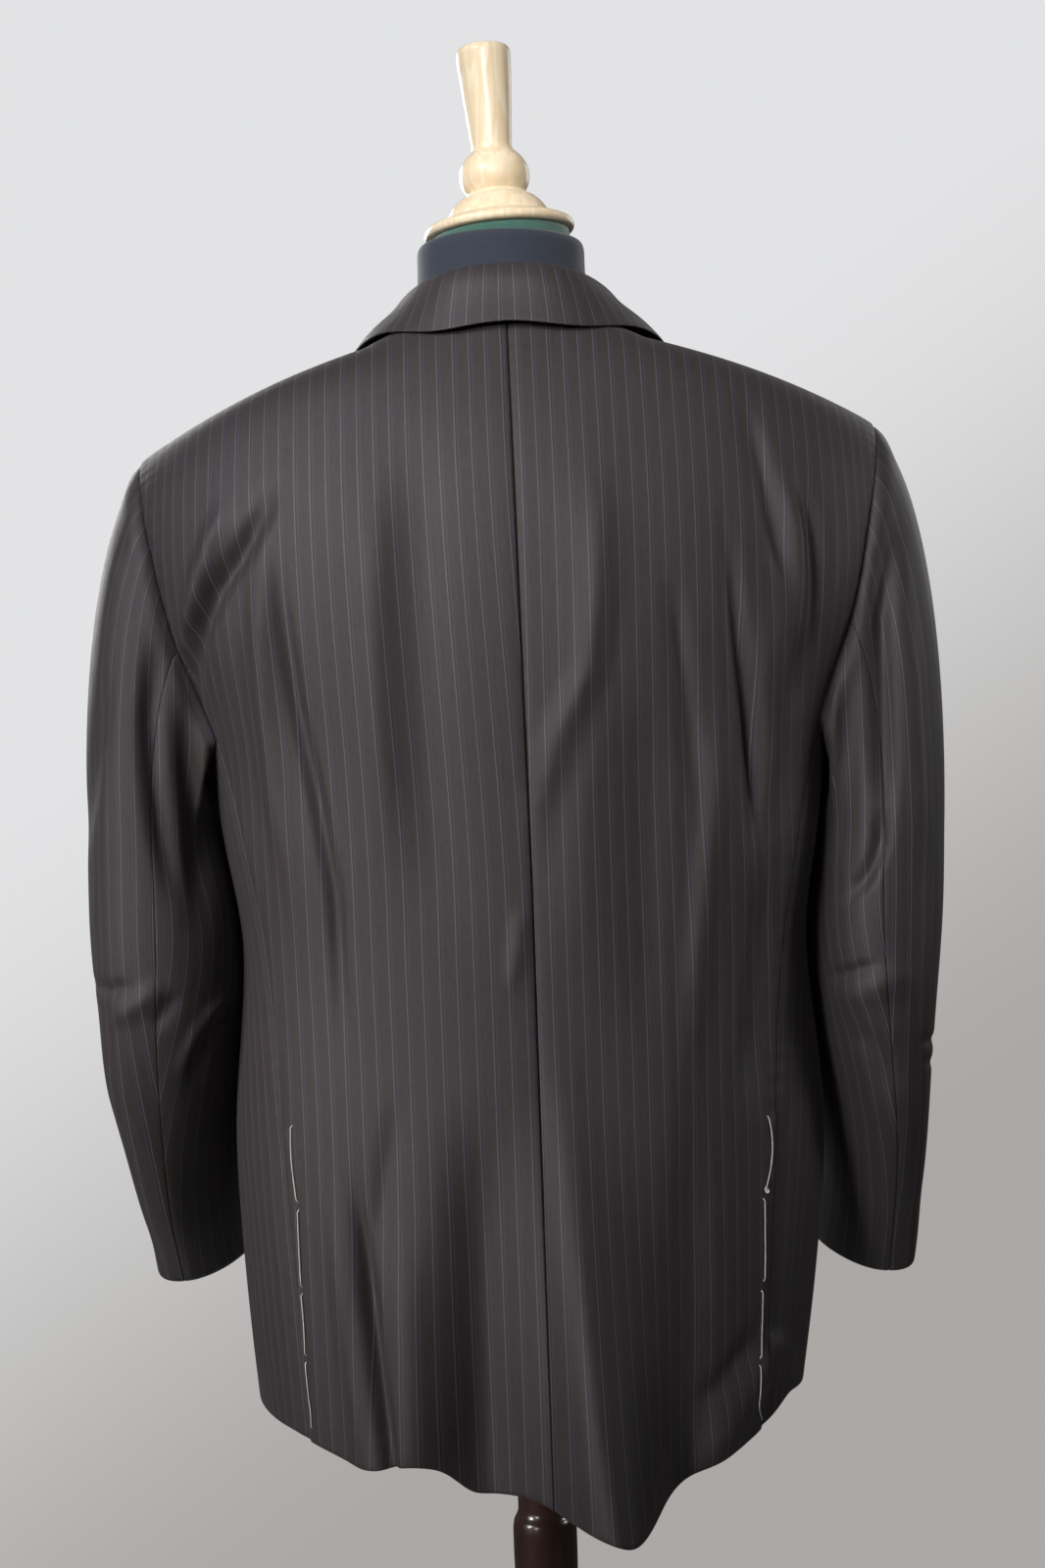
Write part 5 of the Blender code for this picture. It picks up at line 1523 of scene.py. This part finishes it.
def dressForm():
    # limbless torso: superellipse rings from its foot to the top of its neck, closed
    # at both ends by smaller rings
    slack, neckTop = formShape["slack"], formShape["neckTop"]
    rings = [(z, w - slack, b - slack, f - slack, q) for z, w, b, f, q in formShape["rings"]]
    for x, back, front in formShape["shoulders"]:
        z = float(ridgeHeight(x)) - formShape["underCloth"] - slack / 2
        rings.append((z, x - slack, back, front, 2.0))
    for z, width, depth in formShape["neck"]:
        rings.append((z, width, depth, depth, 2.0))
    for drop, width, depth in ((0.006, 0.0, 0.0590), (0.0015, 0.0012, 0.0575),
                               (0.0, 0.0045, 0.0545)):
        rings.append((neckTop - drop, formShape["neckRadius"] - width, depth, depth, 2.0))
    (foot, w0, b0, f0, _), (top, w1, b1, f1, _) = rings[0], rings[-1]
    rings = [(foot, 0.0, 0.0, 0.0, 2.0), (foot, w0 * 0.6, b0 * 0.6, f0 * 0.6, 2.3)] + rings
    rings += [(top, w1 * 0.6, b1 * 0.6, f1 * 0.6, 2.0), (top, 0.0, 0.0, 0.0, 2.0)]
    rows = roundedCorners(rings, 0.020, 6)[:, :, None]
    angle = around(180)[None, :]
    cosine, sine = np.cos(angle), np.sin(angle)
    power = 2.0 / rows[:, 4]
    x = rows[:, 1] * signedPower(cosine, power)
    y = np.where(sine > 0, rows[:, 2], rows[:, 3]) * signedPower(sine, power)
    points = settle(np.stack([x, y, np.broadcast_to(rows[:, 0], x.shape)], axis=-1))
    piece = turnedMesh("dressForm", points, points * np.array([1.0, 1.0, 0.0]))
    solidPiece(piece, "form_torso", "jersey")


def turnedPiece(name, part, limit, height, columns, lean=0.0):
    # a profile of radius and height turned about Z, leant about Y and set in place
    profile = roundedCorners(standShape[part], limit)
    angle = around(columns)[None, :]
    x, y = profile[:, :1] * np.cos(angle), profile[:, :1] * np.sin(angle)
    z = np.broadcast_to(profile[:, 1:], x.shape)
    c, s = math.cos(lean), math.sin(lean)
    points = np.stack([x * c + z * s, y, z * c - x * s + height], axis=-1)
    return turnedMesh(name, points, points - points.mean(axis=(0, 1)))


def capAndStand():
    lean, capHeight = standShape["capLean"], standShape["capHeight"]
    for name, part, limit, height, columns, node, slot, look in (
            ("neckCap", "cap", 0.006, capHeight, 128, "neck_cap", "varnished_beech", "beech"),
            ("standPole", "pole", 0.008, standShape["baseThickness"], 96, "stand_pole",
             "dark_mahogany", "mahogany"),
            ("standBase", "base", 0.006, 0.0, 160, "stand_base", "dark_mahogany", "mahogany")):
        piece = turnedPiece(name, part, limit, height, columns, lean if part == "cap" else 0.0)
        solidPiece(piece, node, look)
    # felt between the neck and the cap, thicker where the cap leans away
    columns = around(120)[None, :]
    foot, radius = formShape["neckTop"] + 0.0003, formShape["neckRadius"] - 0.0100
    radii = np.array([0.0, 0.6, 0.97, 0.992, 1.0, 1.0, 0.995, 0.6, 0.0])[:, None] * radius
    share = np.array([1.0, 1.0, 1.0, 0.97, 0.88, 0.10, 0.0, 0.0, 0.0])[:, None]
    x, y = radii * np.cos(columns), radii * np.sin(columns)
    roof = capHeight - 0.0005 - x * math.tan(lean)
    points = np.stack([x, y, foot + (roof - foot) * share], axis=-1)
    felt = turnedMesh("neckFelt", points, points - points.mean(axis=(0, 1)))
    solidPiece(felt, "neck_felt", "felt")


# Basting stitches

# What a user would change about the stitches that hold the vents shut: radius, how
# far they stand off, and the path of each as (x, z) from behind
stitchPlan = {
    "radius": 0.00037,
    "standOff": 0.0001,
    "endDepth": 0.0013,        # how far the ends go down
    "paths": (
        ((0.1640, 0.872), (0.1642, 0.852), (0.1612, 0.820)),
        ((0.1608, 0.815), (0.1606, 0.790), (0.1600, 0.762)),
        ((0.1602, 0.758), (0.1590, 0.738), (0.1588, 0.716)),
        ((0.1588, 0.712), (0.1574, 0.690), (0.1560, 0.673), (0.1562, 0.666)),
        ((-0.1640, 0.865), (-0.1660, 0.851), (-0.1640, 0.828), (-0.1602, 0.815)),
        ((-0.1590, 0.809), (-0.1582, 0.780), (-0.1570, 0.752)),
        ((-0.1552, 0.746), (-0.1536, 0.722), (-0.1522, 0.701)),
        ((-0.1512, 0.697), (-0.1498, 0.680), (-0.1490, 0.668), (-0.1520, 0.657)),
    ),
    "knot": (-0.1602, 0.8140),
}


def bastingStitches(faces):
    # threads laid on the cloth: y comes from the nearest cloth points, and both ends
    # of each stitch go down into the cloth
    cloud = np.concatenate([points.reshape(-1, 3) for points in faces])
    cloud = cloud[(cloud[:, 1] > 0.0) & (cloud[:, 2] < 0.92) & (np.abs(cloud[:, 0]) > 0.12)]

    def onCloth(path, off):
        gap = ((path[:, None, [0, 2]] - cloud[None, :, [0, 2]]) ** 2).sum(-1)
        path = path.copy()
        path[:, 1] = cloud[np.argsort(gap, axis=1)[:, :6], 1].max(axis=1)
        return path + unit(path * np.array([1.0, 1.0, 0.0])) * off[:, None]

    radius = stitchPlan["radius"]
    share = np.linspace(0.0, 1.0, 30)
    sunk = 1.0 - smoothStep(np.minimum(share, 1.0 - share) / 0.03)
    for number, path in enumerate(stitchPlan["paths"], start=1):
        line = splineThrough([(x, 0.0, z) for x, z in path], 30)
        line = onCloth(line, stitchPlan["standOff"] + radius - stitchPlan["endDepth"] * sunk)
        line[1:-1, 1] = (line[:-2, 1] + line[1:-1, 1] * 2 + line[2:, 1]) / 4
        tube("bastingStitch%d" % number, line, radius, "bastingThread")
    # one small knot: a thread wound twice round itself
    t = np.linspace(0.0, 1.0, 60)
    x, z = stitchPlan["knot"]
    seat = onCloth(np.array([[x, 0.0, z]]), np.array([0.0012]))[0]
    coil = np.stack([0.0011 * np.cos(t * 12.6), 0.0006 * np.sin(t * 25.1),
                     0.0013 * np.sin(t * 12.6) * (1 - 0.5 * t)], axis=1)
    tube("bastingKnot", seat + coil, 0.0005, "bastingThread")


# Floor, light and camera

# What a user would change about the studio
studio = {
    "floorRadius": 1.40,
    "fadeFrom": 0.45,
    "floorColor": (0.66, 0.65, 0.64, 1.0),
    "floorCloud": (0.70, 0.69, 0.68, 1.0),
    "brightWall": (0.765, 0.768, 0.780, 1.0),
    "dimWall": (0.405, 0.392, 0.378, 1.0),
    "highGlow": (0.050, 0.050, 0.054, 1.0),
    "lowGlow": (0.020, 0.018, 0.017, 1.0),
    "floorGlow": 0.32,         # seen by the camera only, lights nothing
    "cameraPlace": (-0.0025, 1.63, 1.10),
    "cameraLean": math.radians(2.0),
    "focalShare": 2280.0 / 1600.0,   # of the height of the picture
    "lamps": (                 # name, kind, place, aim, size, power, cone in degrees, tint
        ("keyLight", "SPOT", (1.45, 2.10, 2.80), (0.10, 0.10, 1.36),
         0.50, 318.0, 33.0, (0.985, 0.985, 1.04)),
        ("rightFill", "SPOT", (-0.60, 2.40, 2.60), (-0.09, 0.10, 1.46),
         0.50, 60.0, 22.0, (1.0, 0.98, 0.98)),
        ("waistFill", "SPOT", (1.35, 2.20, 1.25), (0.00, 0.10, 1.03),
         0.40, 212.0, 15.0, (1.0, 0.96, 0.92)),
        ("leftArmLight", "SPOT", (2.20, 1.20, 1.30), (0.33, 0.00, 0.82),
         0.40, 230.0, 20.0, (1.0, 0.97, 0.95)),
        ("rightArmLight", "SPOT", (-2.40, 0.05, 1.70), (-0.38, 0.00, 1.14),
         0.40, 76.0, 26.0, (1.0, 0.97, 0.96)),
        ("capLight", "SPOT", (0.15, 2.30, 2.10), (0.00, 0.02, 1.67),
         0.35, 470.0, 12.0, (1.0, 0.99, 0.97)),
        ("frontLight", "AREA", (1.30, -2.20, 2.00), (0.00, 0.00, 1.05),
         1.20, 44.0, 0.0, (1.0, 1.0, 1.0)),
        ("frontFill", "AREA", (-1.60, -1.90, 2.10), (0.00, 0.00, 1.20),
         1.20, 12.0, 0.0, (1.0, 1.0, 1.0)),
    ),
}


def setFloor():
    # a pale disc that fades out towards its rim
    radius = studio["floorRadius"]
    r, turn = np.linspace(0.0, radius, 30)[:, None], around(96)[None, :]
    points = np.stack([r * np.cos(turn), r * np.sin(turn), np.zeros((30, 96))], axis=-1)
    floor = turnedMesh("paleFloor", points, np.zeros_like(points) + np.array([0.0, 0.0, 1.0]))
    material, tree, shader = newMaterial("paleFloor", {
        "Roughness": 0.75, "Specular IOR Level": 0.2, "Emission Color": studio["floorColor"]})
    x, y, _ = parted(place(tree))
    away = (x ** 2.0 + y ** 2.0).maths("SQRT")
    feed(shader["Alpha"], ramped(away, studio["fadeFrom"], radius - 0.02, 1.0, 0.0))
    tone = grain(place(tree), 3.0)
    feed(shader["Base Color"], blended(tree, tone, studio["floorColor"], studio["floorCloud"]))
    feed(shader["Emission Strength"], cameraRay(tree) * studio["floorGlow"])
    floor.data.materials.append(material)


def cameraRay(tree):
    return Field(tree.nodes.new("ShaderNodeLightPath").outputs["Is Camera Ray"])


def setWall():
    # the camera sees a wall that brightens upwards, and pieces get a much weaker glow
    world = bpy.data.worlds.new("studioWall")
    world.use_nodes = True
    bpy.context.scene.world = world
    tree = world.node_tree
    x, _, z = parted(place(tree, "Generated"))
    wall = blended(tree, ramped(x + z * 1.6, -0.45, 0.25), studio["dimWall"],
                   studio["brightWall"])
    glow = blended(tree, ramped(x * 0.50 + z * 0.85, -0.55, 0.85), studio["lowGlow"],
                   studio["highGlow"])
    feed(tree.nodes["Background"].inputs["Color"], blended(tree, cameraRay(tree), glow, wall))


def setLamps():
    for name, kind, spot, aim, size, power, cone, tint in studio["lamps"]:
        light = bpy.data.lights.new(name, kind)
        light.energy = power
        light.color = tint
        if kind == "SPOT":
            light.shadow_soft_size = size
            light.spot_size, light.spot_blend = math.radians(cone), 1.0
        else:
            light.size = size
        lamp = bpy.data.objects.new(name, light)
        bpy.context.scene.collection.objects.link(lamp)
        lamp.location = spot
        lamp.rotation_euler = (Vector(aim) - Vector(spot)).to_track_quat("-Z", "Y").to_euler()
        lamp.visible_camera = False


def setCamera():
    # level, looking along -Y, rolled by a lean
    view = bpy.data.cameras.new("camera")
    view.sensor_fit = "VERTICAL"
    view.sensor_height = 36.0
    view.lens = view.sensor_height * studio["focalShare"]
    camera = bpy.data.objects.new("camera", view)
    bpy.context.scene.collection.objects.link(camera)
    c, s = math.cos(studio["cameraLean"]), math.sin(studio["cameraLean"])
    x, y, z = studio["cameraPlace"]
    camera.matrix_world = Matrix(((-c, -s, 0.0, x), (0.0, 0.0, 1.0, y), (-s, c, 0.0, z),
                                  (0.0, 0.0, 0.0, 1.0)))
    bpy.context.scene.camera = camera
    bpy.context.scene.view_settings.view_transform = "Standard"


# The pieces, made in order

materials = makeMaterials()
print("materials ready:", ", ".join(materials))
sides = ("left", "right")
bodyFaces = [bodyPanel("back", side, panelCut["centreGap"], (side == "left", False))
             for side in sides]
bodyFaces += [bodyPanel("side", side, panelCut["seamGap"], (True, True)) for side in sides]
print("backs and sides hung")
fronts = [frontPanel(side) for side in sides]
for side in sides:
    lapel(side)
for side in sides:
    ventUnderlap(side)
print("fronts, lapels and vent underlaps hung")
armhole = armholeRing()
for side in sides:
    sleevePart(side, "Top", armhole)
    sleevePart(side, "Under", armhole)
print("sleeves set")
collarPiece()
buttonPieces(*fronts[0])
print("collar and buttons on")
dressForm()
capAndStand()
bastingStitches(bodyFaces)
print("form, stand and stitches in place")
setFloor()
setWall()
setLamps()
setCamera()
print("floor, lights and camera set")
